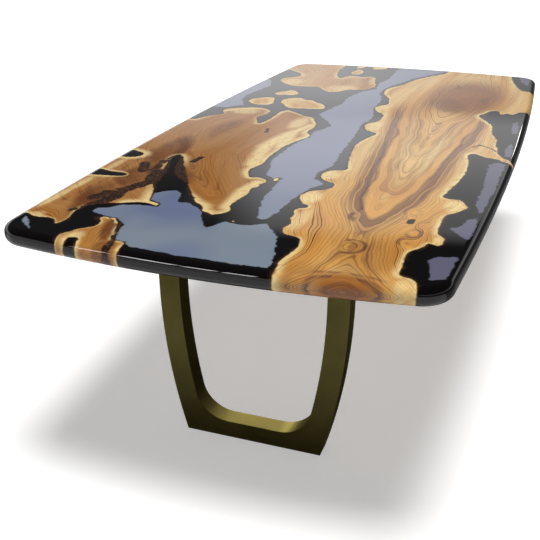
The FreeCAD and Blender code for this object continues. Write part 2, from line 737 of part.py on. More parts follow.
def make_outer_band(label, level, side):
    """The strip that closes one outer edge of the leg, standing on the sole plate."""
    body = new_body("OuterBand")
    sketch = new_sketch(body, "Strip", "YZ_Plane", level)
    face_top, face, face_low, face_foot = draw_outer_path(sketch, side, ZERO, sole_top)
    back_top, back, back_low, back_foot = draw_outer_path(sketch, side, size.leg_sheet, sole_top)
    outer = point(side * half_top, leg_top)
    inner = point(side * (half_top - size.leg_sheet), leg_top)
    top = draw_line(sketch, outer, inner)
    bottom = draw_line(sketch, face_foot, back_foot)
    join(sketch, (top, 1, face_top, 1), (top, 2, back_top, 1))
    join(sketch, (bottom, 1, face, face_low), (bottom, 2, back, back_low))
    add_pad(body, sketch, band_depth)
    keep(body, label)


def make_sole_plate(label, level, middle):
    """The strip under the leg between its plates, with a hole for each levelling stud."""
    body = new_body("SolePlate")
    sketch = new_sketch(body, "Strip", "YZ_Plane", level)
    draw_rectangle(sketch, (ZERO, sole + size.leg_sheet / 2), size.leg_foot_width, size.leg_sheet)
    add_pad(body, sketch, band_depth)
    sketch = new_sketch(body, "StudHoles", "XY_Plane", sole)
    draw_circles(sketch, foot_places(middle), size.bolt_hole_diameter)
    add_pocket(body, sketch, size.leg_sheet)
    keep(body, label)


def make_mount_plate(label, side):
    """The flat plate on top of a leg, drilled for the bolts into the top."""
    body = new_body("MountPlate")
    sketch = new_sketch(body, "PlateOutline", "XY_Plane", leg_top)
    draw_rectangle(sketch, (side * leg_place, ZERO), mount_plate_width, mount_plate_length)
    draw_circles(sketch, mount_places(side), size.bolt_hole_diameter)
    add_pad(body, sketch, size.mount_plate_thickness)
    keep(body, label)


def foot_places(middle):
    """Stud places of the two levelling feet under a leg, left foot first."""
    reach = half_foot - size.foot_inset
    return [(middle, reach), (middle, -reach)]


def make_foot_nuts(label, middle):
    """Hexagonal weld nuts on the sole plate, one over each levelling stud."""
    body = new_body("FootNuts")
    sketch = new_sketch(body, "Nuts", "XY_Plane", sole_top)
    draw_hexagons(sketch, foot_places(middle), size.foot_nut_corner_width)
    draw_circles(sketch, foot_places(middle), size.foot_stud_diameter + 2 * size.fit_clearance)
    add_pad(body, sketch, size.foot_nut_height)
    keep(body, label)


def make_foot(label, place):
    """A levelling foot: a nylon pad on the floor and the steel stud moulded into it."""
    body = new_body("FootPad")
    sketch = new_sketch(body, "Disc", "XY_Plane", ZERO)
    draw_circles(sketch, [place], size.foot_pad_diameter)
    pad = add_pad(body, sketch, size.foot_pad_height)
    chamfer = body.newObject("PartDesign::Chamfer", "Chamfer")
    rims = [n for n, edge in enumerate(pad.Shape.Edges, 1) if edge.BoundBox.ZLength < edge.Length / 4]
    chamfer.Base = (pad, [f"Edge{number}" for number in rims])
    bind(chamfer, "Size", size.foot_pad_chamfer)
    doc.recompute()
    seat = size.foot_pad_height - size.foot_stud_seat
    sketch = new_sketch(body, "StudSeat", "XY_Plane", seat)
    draw_circles(sketch, [place], size.foot_stud_diameter + 2 * size.fit_clearance)
    add_pocket(body, sketch, size.foot_stud_seat)
    keep(body, f"{label}_pad")

    body = new_body("FootStud")
    sketch = new_sketch(body, "Rod", "XY_Plane", seat)
    draw_circles(sketch, [place], size.foot_stud_diameter)
    add_pad(body, sketch, size.foot_stud_length)
    keep(body, f"{label}_stud")


def make_leg(name, side):
    """One leg with its mount plate, fasteners and levelling feet; side is -1 near and 1 far."""
    middle = side * leg_place
    low_face = middle - size.leg_depth / 2
    high_face = middle + size.leg_depth / 2 - size.leg_sheet
    front, back = (low_face, high_face) if side < 0 else (high_face, low_face)
    make_plate(f"{name}_leg_front_plate", front)
    make_plate(f"{name}_leg_back_plate", back)
    inside = low_face + size.leg_sheet
    make_inner_band(f"{name}_leg_inner_band", inside)
    make_outer_band(f"{name}_leg_left_band", inside, 1)
    make_outer_band(f"{name}_leg_right_band", inside, -1)
    make_sole_plate(f"{name}_leg_sole_plate", inside, middle)
    make_mount_plate(f"{name}_leg_mount_plate", side)
    make_washers(f"{name}_leg_washers", mount_places(side), leg_top)
    make_bolts(f"{name}_leg_bolts", mount_places(side), leg_top - size.washer_thickness, underside)
    make_inserts(f"{name}_leg_inserts", mount_places(side), underside)
    make_foot_nuts(f"{name}_leg_foot_nuts", middle)
    for hand, place in zip(("left", "right"), foot_places(middle)):
        make_foot(f"{name}_{hand}_foot", place)


def make_stiffener(name, side):
    """A steel channel let into the underside, open downwards, with its bolts and inserts."""
    body = new_body("Stiffener")
    middle = (side * stiffener_place, ZERO)
    sketch = new_sketch(body, "ChannelOutline", "XY_Plane", underside)
    draw_rectangle(sketch, middle, size.stiffener_width, stiffener_length)
    add_pad(body, sketch, size.stiffener_height)
    sketch = new_sketch(body, "ChannelHollow", "XY_Plane", underside)
    hollow = size.stiffener_width - 2 * size.stiffener_wall
    draw_rectangle(sketch, middle, hollow, stiffener_length + 2 * size.overrun)
    web_level = size.stiffener_height - size.stiffener_wall
    add_pocket(body, sketch, web_level)
    sketch = new_sketch(body, "BoltHoles", "XY_Plane", underside + web_level)
    draw_circles(sketch, stiffener_places(side), size.bolt_hole_diameter)
    add_pocket(body, sketch, size.stiffener_wall)
    keep(body, f"{name}_stiffener")
    insert_level = underside + groove_depth
    make_bolts(f"{name}_stiffener_bolts", stiffener_places(side), underside + web_level, insert_level)
    make_inserts(f"{name}_stiffener_inserts", stiffener_places(side), insert_level)


def write_parts():
    """Check every object, then write each sub-part to its own file."""
    doc.recompute()
    for thing in doc.Objects:
        if "Invalid" in thing.State or "Error" in thing.State:
            raise RuntimeError(f"{thing.Label} failed: {thing.State}")
    for piece in sub_parts:
        if piece.Shape.isNull() or not piece.Shape.isValid() or not piece.Shape.Solids:
            raise RuntimeError(f"{piece.Label} has no valid solid")
    os.makedirs("parts", exist_ok=True)
    for piece in sub_parts:
        piece.Shape.exportStep(f"parts/{piece.Label}.step")
        print(piece.Label, len(piece.Shape.Solids), round(piece.Shape.Volume))


make_top()
for name, side in (("near", -1), ("far", 1)):
    make_leg(name, side)
    make_stiffener(name, side)
write_parts()
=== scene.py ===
"""River dining table: burl wood slabs cast in black resin with painted reflections, on two bronze-painted
legs.

The top is meshed afresh over the CAD slabs. Its pieces carry fields for the grain, the live edges and the
painted reflections in the pools of the resin, and the finishes are drawn from these fields. The legs,
fasteners and feet keep their CAD shapes and only get their finishes here.
Frame: X runs along the table away from the camera, Y runs to the left, Z points up. Units are metres.
"""
import json
import logging
import math
from collections import defaultdict
from dataclasses import dataclass, field
from enum import Enum
from typing import Any

import bpy
import numpy as np
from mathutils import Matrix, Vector, geometry, kdtree


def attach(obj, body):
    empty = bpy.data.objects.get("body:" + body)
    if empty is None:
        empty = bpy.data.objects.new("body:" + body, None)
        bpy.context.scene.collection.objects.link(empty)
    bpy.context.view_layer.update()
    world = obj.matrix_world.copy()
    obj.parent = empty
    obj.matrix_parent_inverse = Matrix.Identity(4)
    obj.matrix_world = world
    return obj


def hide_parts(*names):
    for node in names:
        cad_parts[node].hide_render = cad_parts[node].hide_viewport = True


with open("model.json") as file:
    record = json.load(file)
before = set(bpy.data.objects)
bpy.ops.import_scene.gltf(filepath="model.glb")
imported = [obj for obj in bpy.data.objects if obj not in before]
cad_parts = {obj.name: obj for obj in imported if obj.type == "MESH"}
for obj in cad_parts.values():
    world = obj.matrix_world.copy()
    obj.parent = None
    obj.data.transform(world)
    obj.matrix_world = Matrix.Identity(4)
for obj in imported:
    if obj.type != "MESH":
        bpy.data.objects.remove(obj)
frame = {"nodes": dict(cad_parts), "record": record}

LOG = logging.getLogger("river_table")
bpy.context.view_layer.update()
MM = 0.001
WHITE = (1.0, 1.0, 1.0, 1.0)
Place = tuple[float, float]
Line = tuple[Place, ...]
Spot = tuple[float, float, float]


class Grain(Enum):
    """How the growth rings run in a piece of wood."""

    CATHEDRAL = "nested arches along the slab"
    SLANTED = "long lines that turn along the slab"
    ONION = "rings that follow the outline of a slice"


class Layer(Enum):
    """The face of the top on which a corner lies."""

    TOP = "the polished face"
    UNDERSIDE = "the face below"
    GROOVE_ROOF = "the roof of a stiffener's groove"


def linear(code: str) -> tuple[float, float, float, float]:
    """Turn an sRGB hex colour into linear light.

    Args:
        code: Six hexadecimal digits after a hash sign.

    Returns:
        Red, green, blue and an opaque alpha.
    """
    parts = [int(code[start:start + 2], 16) / 255 for start in (1, 3, 5)]
    light = [part / 12.92 if part <= 0.04045 else ((part + 0.055) / 1.055) ** 2.4 for part in parts]
    return light[0], light[1], light[2], 1.0


def add_node(
    tree: bpy.types.NodeTree, kind: str, sockets: dict[Any, Any] | None = None, **settings: Any
) -> bpy.types.Node:
    """Add a node with its settings, values and links.

    By number, a Map Range node's inputs 1 and 2 are the range that it reads, and 3 and 4 the range that it
    gives. A colour Mix node's inputs 6 and 7 are its two colours.

    Args:
        tree: The node tree that gets the node.
        kind: The node's type name, without its ShaderNode prefix.
        sockets: Input sockets by name or number, each with a value, an output, or a node to be fed by.
        settings: Properties of the node.

    Returns:
        The new node.
    """
    node = tree.nodes.new("ShaderNode" + kind)
    for name, value in settings.items():
        setattr(node, name, value)
    for key, value in (sockets or {}).items():
        if isinstance(value, bpy.types.Node):
            value = next(output for output in value.outputs if output.enabled)
        if isinstance(value, bpy.types.NodeSocket):
            tree.links.new(value, node.inputs[key])
        else:
            node.inputs[key].default_value = value
    return node


def set_stops(node: bpy.types.Node, stops: list[tuple[float, Any]]) -> None:
    """Give a colour ramp node its stops.

    Args:
        node: The colour ramp node.
        stops: Places from 0 to 1, each with a hex colour or a grey level.
    """
    elements = node.color_ramp.elements
    while len(elements) < len(stops):
        elements.new(1.0)
    for element, (place, value) in zip(elements, stops):
        element.position = place
        element.color = linear(value) if isinstance(value, str) else (value, value, value, 1.0)


def new_material(name: str) -> tuple[bpy.types.Material, bpy.types.NodeTree]:
    """Start an empty node material.

    Args:
        name: The material's name.

    Returns:
        The material and its node tree, with no nodes yet.
    """
    material = bpy.data.materials.new(name)
    material.use_nodes = True
    material.node_tree.nodes.clear()
    return material, material.node_tree


def pour_coat(
    tree: bpy.types.NodeTree, colour: bpy.types.Node, roughness: float, coat_roughness: float
) -> None:
    """Lay a clear mirror coat over a colour and end the material there.

    The coat alone gives the gloss, so what lies under it has no highlight of its own.

    Args:
        tree: The material's node tree.
        colour: The node that gives the colour under the coat.
        roughness: Roughness of what lies under the coat.
        coat_roughness: Roughness of the polished coat.
    """
    shader = add_node(tree, "BsdfPrincipled", {
        "Base Color": colour, "Roughness": roughness, "Coat Weight": 1.0, "Coat Roughness": coat_roughness,
        "Specular IOR Level": 0.0,
    })
    add_node(tree, "OutputMaterial", {0: shader})


def smooth(low: float, high: float, values: np.ndarray) -> np.ndarray:
    """Rise smoothly from 0 at low to 1 at high."""
    share = np.clip((values - low) / (high - low), 0, 1)
    return share * share * (3 - 2 * share)


@dataclass(frozen=True)
class WoodMarks:
    """The fields that the wood's mesh carries and the patterns laid along them, in a finish's node tree.

    The phase counts the rings, and the spell is high where dark years come together.
    """

    cream: bpy.types.NodeSocket
    heart: bpy.types.NodeSocket
    streak: bpy.types.NodeSocket
    live: bpy.types.NodeSocket
    bark: bpy.types.NodeSocket
    warm: bpy.types.NodeSocket
    cloud: bpy.types.Node
    ripple: bpy.types.Node
    fibre: bpy.types.Node
    crumble: bpy.types.Node
    phase: bpy.types.Node
    spell: bpy.types.Node


@dataclass(frozen=True)
class BurlWood:
    """Planed burl wood under a poured, polished coat.

    The eye sees growth rings that wander round knots, cream sapwood along the live edges, a darker heart
    and purple-brown streaks, all wet and deep under a mirror gloss.
    """

    name: str = "burl_wood_poured_gloss"
    amber: str = "#9C6029"
    copper: str = "#CC8D45"
    gold: str = "#E0A95B"
    honey: str = "#EEC885"
    sapwood: str = "#F6DE9E"
    tan: str = "#D6A466"
    heart: str = "#6E3E1E"
    streak: str = "#69403A"
    ring_shade: str = "#6E4A42"
    bark: str = "#241B15"
    rust: str = "#5A3520"
    ash: str = "#86725F"
    ring_mm: float = 10.0
    wander_mm: float = 70.0
    cloud_mm: float = 110.0
    ripple_mm: float = 26.0
    # Fibres are drawn coarser than life so that they show in the render.
    fibre_mm: float = 2.6
    crumble_mm: float = 9.0
    # How much shorter the grain's run is made, which draws the patterns out along it.
    flow_share: float = 0.08
    sway_share: float = 0.4
    fibre_share: float = 0.03
    # How many rings each pattern moves the growth lines by.
    wander_rings: float = 3.0
    sway_rings: float = 4.0
    ripple_rings: float = 0.35
    # How often dark spells of years come, per ring.
    spell_rate: float = 0.31
    roughness: float = 0.42
    coat_roughness: float = 0.025

    def material(self) -> bpy.types.Material:
        """Build the finish from the fields that the wood's mesh carries.

        Returns:
            The finish.
        """
        material, tree = new_material(self.name)
        marks = self.draw_patterns(tree)
        toned = self.lay_tones(tree, marks)
        lines = self.draw_rings(tree, marks)
        ringed = add_node(tree, "Mix", {0: lines, 6: toned, 7: linear(self.ring_shade)},
                          data_type="RGBA", blend_type="MULTIPLY")
        fine = add_node(tree, "MapRange", {"Value": marks.fibre, 1: 0.3, 2: 0.7, 3: 0.88, 4: 1.1})
        combed = add_node(tree, "VectorMath", {0: ringed, "Scale": fine}, operation="SCALE")
        barked = self.leave_bark(tree, marks, combed)
        pour_coat(tree, barked, self.roughness, self.coat_roughness)
        return material

    def draw_patterns(self, tree: bpy.types.NodeTree) -> WoodMarks:
        """Read the mesh's fields and lay the noise patterns along them.

        Args:
            tree: The finish's node tree.

        Returns:
            The fields and the patterns.
        """
        figure, tone, edge = (
            add_node(tree, "Attribute", attribute_name=name).outputs["Vector"]
            for name in ("figure", "tone", "edge")
        )
        across = add_node(tree, "SeparateXYZ", {0: figure}).outputs[0]
        cream, heart, streak = add_node(tree, "SeparateXYZ", {0: tone}).outputs
        live, bark, warm = add_node(tree, "SeparateXYZ", {0: edge}).outputs
        place = add_node(tree, "TexCoord").outputs["Object"]
        flow, waves, strands = (
            add_node(tree, "VectorMath", {0: figure, 1: (1.0, share, 1.0)}, operation="MULTIPLY")
            for share in (self.flow_share, self.sway_share, self.fibre_share)
        )
        wander, sway, cloud, ripple, fibre, crumble = (
            add_node(tree, "TexNoise", {"Vector": where, "Scale": 1 / (size_mm * MM), "Detail": detail})
            for where, size_mm, detail in (
                (flow, self.wander_mm, 3.0), (waves, self.wander_mm, 1.0), (flow, self.cloud_mm, 3.0),
                (place, self.ripple_mm, 4.0), (strands, self.fibre_mm, 2.0), (place, self.crumble_mm, 4.0),
            )
        )
        phase = add_node(tree, "Math", {0: across, 1: 1 / (self.ring_mm * MM)}, operation="MULTIPLY")
        moves = ((wander, self.wander_rings), (sway, self.sway_rings), (ripple, self.ripple_rings))
        for noise, rings in moves:
            phase = add_node(tree, "Math", {0: noise, 1: rings, 2: phase}, operation="MULTIPLY_ADD")
        years = add_node(tree, "TexNoise", {"W": phase, "Scale": self.spell_rate, "Detail": 2.0},
                         noise_dimensions="1D")
        spell = add_node(tree, "MapRange", {"Value": years, 1: 0.4, 2: 0.62},
                         interpolation_type="SMOOTHSTEP")
        return WoodMarks(
            cream=cream, heart=heart, streak=streak, live=live, bark=bark, warm=warm, cloud=cloud,
            ripple=ripple, fibre=fibre, crumble=crumble, phase=phase, spell=spell,
        )

    def draw_rings(self, tree: bpy.types.NodeTree, marks: WoodMarks) -> bpy.types.Node:
        """Draw the growth rings: each darkens slowly and ends at once, and some years are far darker.

        Args:
            tree: The finish's node tree.
            marks: The fields and patterns.

        Returns:
            The node that says how dark the lines are. They are fainter in the sapwood.
        """
        ring = add_node(tree, "Math", {0: marks.phase}, operation="FRACT")
        year = add_node(tree, "Math", {0: marks.phase}, operation="FLOOR")
        chance = add_node(tree, "TexWhiteNoise", {"W": year}, noise_dimensions="1D")
        weight = add_node(tree, "ValToRGB", {"Fac": chance})
        set_stops(weight, [(0.0, 0.28), (0.5, 0.48), (0.8, 0.85), (1.0, 1.0)])
        lines = add_node(tree, "ValToRGB", {"Fac": ring})
        set_stops(lines, [(0.0, 0.35), (0.16, 0.0), (0.55, 0.1), (0.84, 1.0), (1.0, 0.5)])
        cluster = add_node(tree, "MapRange", {"Value": marks.spell, 3: 0.45, 4: 1.65})
        vigour = add_node(tree, "MapRange", {"Value": marks.cloud, 1: 0.3, 2: 0.62, 3: 1.0, 4: 0.42})
        kept = add_node(tree, "MapRange", {"Value": marks.cream, 3: 1.0, 4: 0.3})
        for share in (weight, cluster, vigour, kept):
            lines = add_node(tree, "Math", {0: lines, 1: share}, operation="MULTIPLY")
        return lines

    def lay_tones(self, tree: bpy.types.NodeTree, marks: WoodMarks) -> bpy.types.Node:
        """Lay the wood's tones over one another, from the ground colour to the sapwood.

        Args:
            tree: The finish's node tree.
            marks: The fields and patterns.

        Returns:
            The node that gives the colour without rings, fibres and bark.
        """
        toned = add_node(tree, "ValToRGB", {"Fac": marks.cloud})
        set_stops(toned, [(0.3, self.copper), (0.46, self.gold), (0.66, self.honey)])
        # The heart is clouded and mottled, and keeps to its own patches.
        mottled = marks.heart
        for noise, share in ((marks.cloud, -2.2), (marks.ripple, -0.4)):
            mottled = add_node(tree, "Math", {0: noise, 1: share, 2: mottled}, operation="MULTIPLY_ADD")
        flecked, around = (
            add_node(tree, "MapRange", {"Value": value, 1: low, 2: high}, interpolation_type="SMOOTHSTEP")
            for value, low, high in ((mottled, -1.3, -0.2), (marks.heart, 0.0, 0.4))
        )
        core = add_node(tree, "Math", {0: flecked, 1: around}, operation="MULTIPLY")
        streaky = add_node(tree, "MapRange", {"Value": marks.spell, 3: 0.12, 4: 1.0})
        veins = add_node(tree, "Math", {0: marks.streak, 1: streaky}, operation="MULTIPLY")
        frayed = add_node(tree, "MapRange", {"Value": marks.ripple, 1: 0.3, 2: 0.7, 3: 0.7, 4: 1.2})
        sap = add_node(tree, "Math", {0: marks.cream, 1: frayed}, operation="MULTIPLY", use_clamp=True)
        pale = add_node(tree, "ValToRGB", {"Fac": marks.ripple})
        set_stops(pale, [(0.52, self.sapwood), (0.72, self.tan)])
        for amount, tint in (
            (marks.warm, linear(self.amber)), (core, linear(self.heart)), (veins, linear(self.streak)),
            (sap, pale),
        ):
            toned = add_node(tree, "Mix", {0: amount, 6: toned, 7: tint}, data_type="RGBA")
        return toned

    def leave_bark(
        self, tree: bpy.types.NodeTree, marks: WoodMarks, wood: bpy.types.Node
    ) -> bpy.types.Node:
        """Leave a thread of bark along the live edge, torn by the ripple, and char in the deep faults.

        Args:
            tree: The finish's node tree.
            marks: The fields and patterns.
            wood: The node that gives the bare wood's colour.

        Returns:
            The node that gives the colour with the bark.
        """
        torn = add_node(tree, "Math", {0: marks.ripple, 1: -9 * MM, 2: marks.live},
                        operation="MULTIPLY_ADD")
        rind = add_node(tree, "MapRange", {"Value": torn, 1: -3.6 * MM, 2: 0.2 * MM, 3: 1.0, 4: 0.0})
        broken = add_node(tree, "Math", {0: marks.ripple, 1: 1.2, 2: marks.bark}, operation="MULTIPLY_ADD")
        char = add_node(tree, "MapRange", {"Value": broken, 1: 0.95, 2: 1.25})
        amount = add_node(tree, "Math", {0: rind, 1: char}, operation="MAXIMUM")
        crust = add_node(tree, "ValToRGB", {"Fac": marks.crumble})
        set_stops(crust, [(0.46, self.bark), (0.64, self.rust), (0.82, self.ash)])
        return add_node(tree, "Mix", {0: amount, 6: wood, 7: crust}, data_type="RGBA")


@dataclass(frozen=True)
class ResinWithPaintedReflections:
    """Cast epoxy resin, ground flat and polished.

    It is black where it meets the wood and the rim. A painted lavender reflection lies in the open pools,
    and a painted grey reflection haze lies over the black towards the far end.
    """

    name: str = "epoxy_resin_polished"
    black: str = "#080607"
    # The grey of the painted reflection haze that lies over the black towards the far end.
    painted_far_haze: str = "#555559"
    crumb: str = "#3E2617"
    # The lavender of the painted reflection in the pools, clouded between this tone and the next.
    painted_reflection_tint: str = "#687292"
    painted_reflection_grey: str = "#7F8A98"
    pale: str = "#8E92A6"
    # A paler painted reflection that the painted far haze mixes into the pools.
    painted_rim_reflection: str = "#626176"
    # The greyer painted reflection along the right-hand rim.
    cloud_mm: float = 320.0
    fine_noise_mm: float = 28.0
    # The painted reflection along the right-hand rim is greyer than the river's, between these places
    # across the table.
    painted_rim_reflection_from: float = -500 * MM
    painted_rim_reflection_to: float = -460 * MM
    roughness: float = 0.3
    coat_roughness: float = 0.02

    def material(self) -> bpy.types.Material:
        """Build the finish from the painted reflection field that the resin's mesh carries.

        Returns:
            The finish.
        """
        material, tree = new_material(self.name)
        fields = add_node(tree, "Attribute", attribute_name="painted_reflection_pool").outputs["Vector"]
        painted_reflection_pool, painted_far_haze, live = add_node(tree, "SeparateXYZ", {0: fields}).outputs
        place = add_node(tree, "TexCoord").outputs["Object"]
        cloud, fine_noise = (
            add_node(tree, "TexNoise", {"Vector": place, "Scale": 1 / (size_mm * MM), "Detail": detail})
            for size_mm, detail in ((self.cloud_mm, 1.5), (self.fine_noise_mm, 4.0))
        )
        # Fine noise makes the edge of the painted reflection ragged.
        reflection_edge_jitter = add_node(tree, "MapRange", {"Value": fine_noise, 1: 0.25, 2: 0.75, 3: -0.16, 4: 0.16})
        ragged = add_node(tree, "Math", {0: painted_reflection_pool, 1: reflection_edge_jitter}, operation="ADD")
        painted_reflection_mask = add_node(tree, "MapRange", {"Value": ragged, 1: 0.42, 2: 0.58},
                             interpolation_type="SMOOTHSTEP")
        # The painted reflection in the pools is clouded between two lavender greys.
        painted_reflection_tint = add_node(tree, "ValToRGB", {"Fac": cloud})
        set_stops(painted_reflection_tint, [(0.4, self.painted_reflection_tint), (0.6, self.painted_reflection_grey)])
        width = add_node(tree, "SeparateXYZ", {0: place}).outputs[1]
        rimward = add_node(tree, "MapRange", {
            "Value": width, 1: self.painted_rim_reflection_from, 2: self.painted_rim_reflection_to, 3: 1.0, 4: 0.0,
        })
        # Crumbs of bark have come off the live edges and hang in the resin beside them.
        strewn = add_node(tree, "Math", {0: fine_noise, 1: -30 * MM, 2: live}, operation="MULTIPLY_ADD")
        crumbs = add_node(tree, "MapRange", {"Value": strewn, 1: -16 * MM, 2: -9 * MM, 3: 0.9, 4: 0.0})
        # The painted reflection turns greyer at the right-hand rim and paler under the painted far haze.
        for amount, tint in ((rimward, self.painted_rim_reflection), (painted_far_haze, self.pale)):
            painted_reflection_tint = add_node(tree, "Mix", {0: amount, 6: painted_reflection_tint, 7: linear(tint)}, data_type="RGBA")
        # Painted reflection haze greys the black towards the far end.
        colour = add_node(tree, "Mix", {0: painted_far_haze, 6: linear(self.black), 7: linear(self.painted_far_haze)},
                          data_type="RGBA")
        for amount, tint in ((painted_reflection_mask, painted_reflection_tint), (crumbs, linear(self.crumb))):
            colour = add_node(tree, "Mix", {0: amount, 6: colour, 7: tint}, data_type="RGBA")
        pour_coat(tree, colour, self.roughness, self.coat_roughness)
        return material


@dataclass(frozen=True)
class SprayedPaint:
    """Metallic paint or plating on sheet metal, with a faint orange peel and fine flakes."""

    name: str
    colour: str
    shade: str
    metallic: float
    roughness: float
    # Flakes are drawn coarser than life so that they show.
    flake_mm: float = 3.0
    edge: str = "#FFFFFF"
    drift_flakes: float = 60.0
    peel_mm: float = 4.0
    peel_height_mm: float = 0.05

    def material(self) -> bpy.types.Material:
        """Build the finish: flakes that drift from one tone to another under a soft orange peel.

        Returns:
            The finish.
        """
        material, tree = new_material(self.name)
        place = add_node(tree, "TexCoord").outputs["Object"]
        flake, drift, peel = (
            add_node(tree, "TexNoise", {"Vector": place, "Scale": 1 / (size_mm * MM), "Detail": detail})
            for size_mm, detail in (
                (self.flake_mm, 3.0), (self.drift_flakes * self.flake_mm, 2.0), (self.peel_mm, 1.0),
            )
        )
        blend = add_node(tree, "Math", {0: flake, 1: drift}, operation="MULTIPLY")
        colour = add_node(tree, "ValToRGB", {"Fac": blend})
        set_stops(colour, [(0.12, self.shade), (0.38, self.colour)])
        rough = add_node(tree, "MapRange", {
            "Value": flake, 1: 0.3, 2: 0.7, 3: self.roughness * 0.85, 4: self.roughness * 1.15,
        })
        bump = add_node(tree, "Bump", {
            "Height": peel, "Distance": self.peel_height_mm * MM, "Strength": 0.5,
        })
        shader = add_node(tree, "BsdfPrincipled", {
            "Base Color": colour, "Metallic": self.metallic, "Roughness": rough,
            "Specular Tint": linear(self.edge), "Normal": bump,
        })
        add_node(tree, "OutputMaterial", {0: shader})
        return material


BURL_WOOD = BurlWood()
# Wood whose rings hardly show, so that it looks calmer and more even beside the great right-hand slab.
CALM_WOOD = BurlWood("burl_wood_calm_poured_gloss", ring_shade="#B08E72")
# Black resin with a painted reflection in its pools and a painted reflection haze towards the far end.
RESIN_WITH_PAINTED_REFLECTIONS = ResinWithPaintedReflections()
# Olive bronze with a silky sheen that turns paler at a glance.
BRONZE_PAINT = SprayedPaint("bronze_paint_satin_sprayed", "#5E5631", "#4A4424", 1.0, 0.4, edge="#E6DDC2")
# Bright grey with a fine crystal mottle.
ZINC_STEEL = SprayedPaint("steel_zinc_plated", "#B9BBBD", "#8F9295", 1.0, 0.32, flake_mm=1.2)
# Dull black with only a soft highlight.
BLACK_STEEL = SprayedPaint("steel_black_primed", "#2C2C2E", "#1D1D1F", 0.2, 0.5)
# Warm yellow with a bright turned shine.
BRASS = SprayedPaint("brass_turned", "#C9A253", "#9C7A38", 1.0, 0.3, flake_mm=1.0)
# Near black and waxy.
NYLON = SprayedPaint("nylon_moulded", "#1E1E20", "#141415", 0.0, 0.55, flake_mm=2.0)


def plan_tree(points: np.ndarray) -> kdtree.KDTree:
    """Make a search tree of plan points.

    Args:
        points: Plan places, one row each.

    Returns:
        The tree, ready for searches, with the rows' numbers.
    """
    tree = kdtree.KDTree(len(points))
    for index, (x, y) in enumerate(points):
        tree.insert((x, y, 0.0), index)
    tree.balance()
    return tree


def thin(line: np.ndarray, step: float) -> np.ndarray:
    """Leave out points of a line that crowd their neighbour, keeping both ends.

    Args:
        line: The line's points.
        step: The least distance between points that are kept.

    Returns:
        The points that are kept.
    """
    kept = [line[0]]
    for spot in line[1:-1]:
        if np.hypot(*(spot - kept[-1])) > step and np.hypot(*(spot - line[-1])) > step:
            kept.append(spot)
    kept.append(line[-1])
    return np.array(kept)


def divide(line: np.ndarray, step: float) -> np.ndarray:
    """Divide the straight runs of a line into equal steps.

    Args:
        line: The line's points.
        step: The greatest length of a step.

    Returns:
        The line's points with those between them.
    """
    spots = [line[:1]]
    for start, end in zip(line, line[1:]):
        count = max(1, math.ceil(np.hypot(*(end - start)) / step))
        spots.append(start + (end - start) * (np.arange(1, count + 1) / count)[:, None])
    return np.vstack(spots)


def inside_loop(points: np.ndarray, loop: np.ndarray) -> np.ndarray:
    """Tell which points lie inside a closed loop.

    Args:
        points: Plan places, one row each.
        loop: The loop's points, without the first one again at the end.

    Returns:
        True for each point inside.
    """
    result = np.zeros(len(points), dtype=bool)
    near = np.nonzero(((points >= loop.min(axis=0)) & (points <= loop.max(axis=0))).all(axis=1))[0]
    x, y = points[near, 0], points[near, 1]
    odd = np.zeros(len(near), dtype=bool)
    for (x0, y0), (x1, y1) in zip(loop, np.roll(loop, -1, axis=0)):
        if y0 != y1:
            odd ^= ((y0 > y) != (y1 > y)) & (x < (x1 - x0) * (y - y0) / (y1 - y0) + x0)
    result[near] = odd
    return result


def away_from_line(points: np.ndarray, line: np.ndarray) -> np.ndarray:
    """Measure how far points are from a line of straight runs.

    Args:
        points: Plan places, one row each.
        line: The line's points.

    Returns:
        Each point's distance.
    """
    best = np.full(len(points), np.inf)
    for start, end in zip(line, line[1:]):
        run = end - start
        share = np.clip(((points - start) @ run) / max(float(run @ run), 1e-12), 0, 1)
        best = np.minimum(best, np.linalg.norm(points - (start + share[:, None] * run), axis=1))
    return best


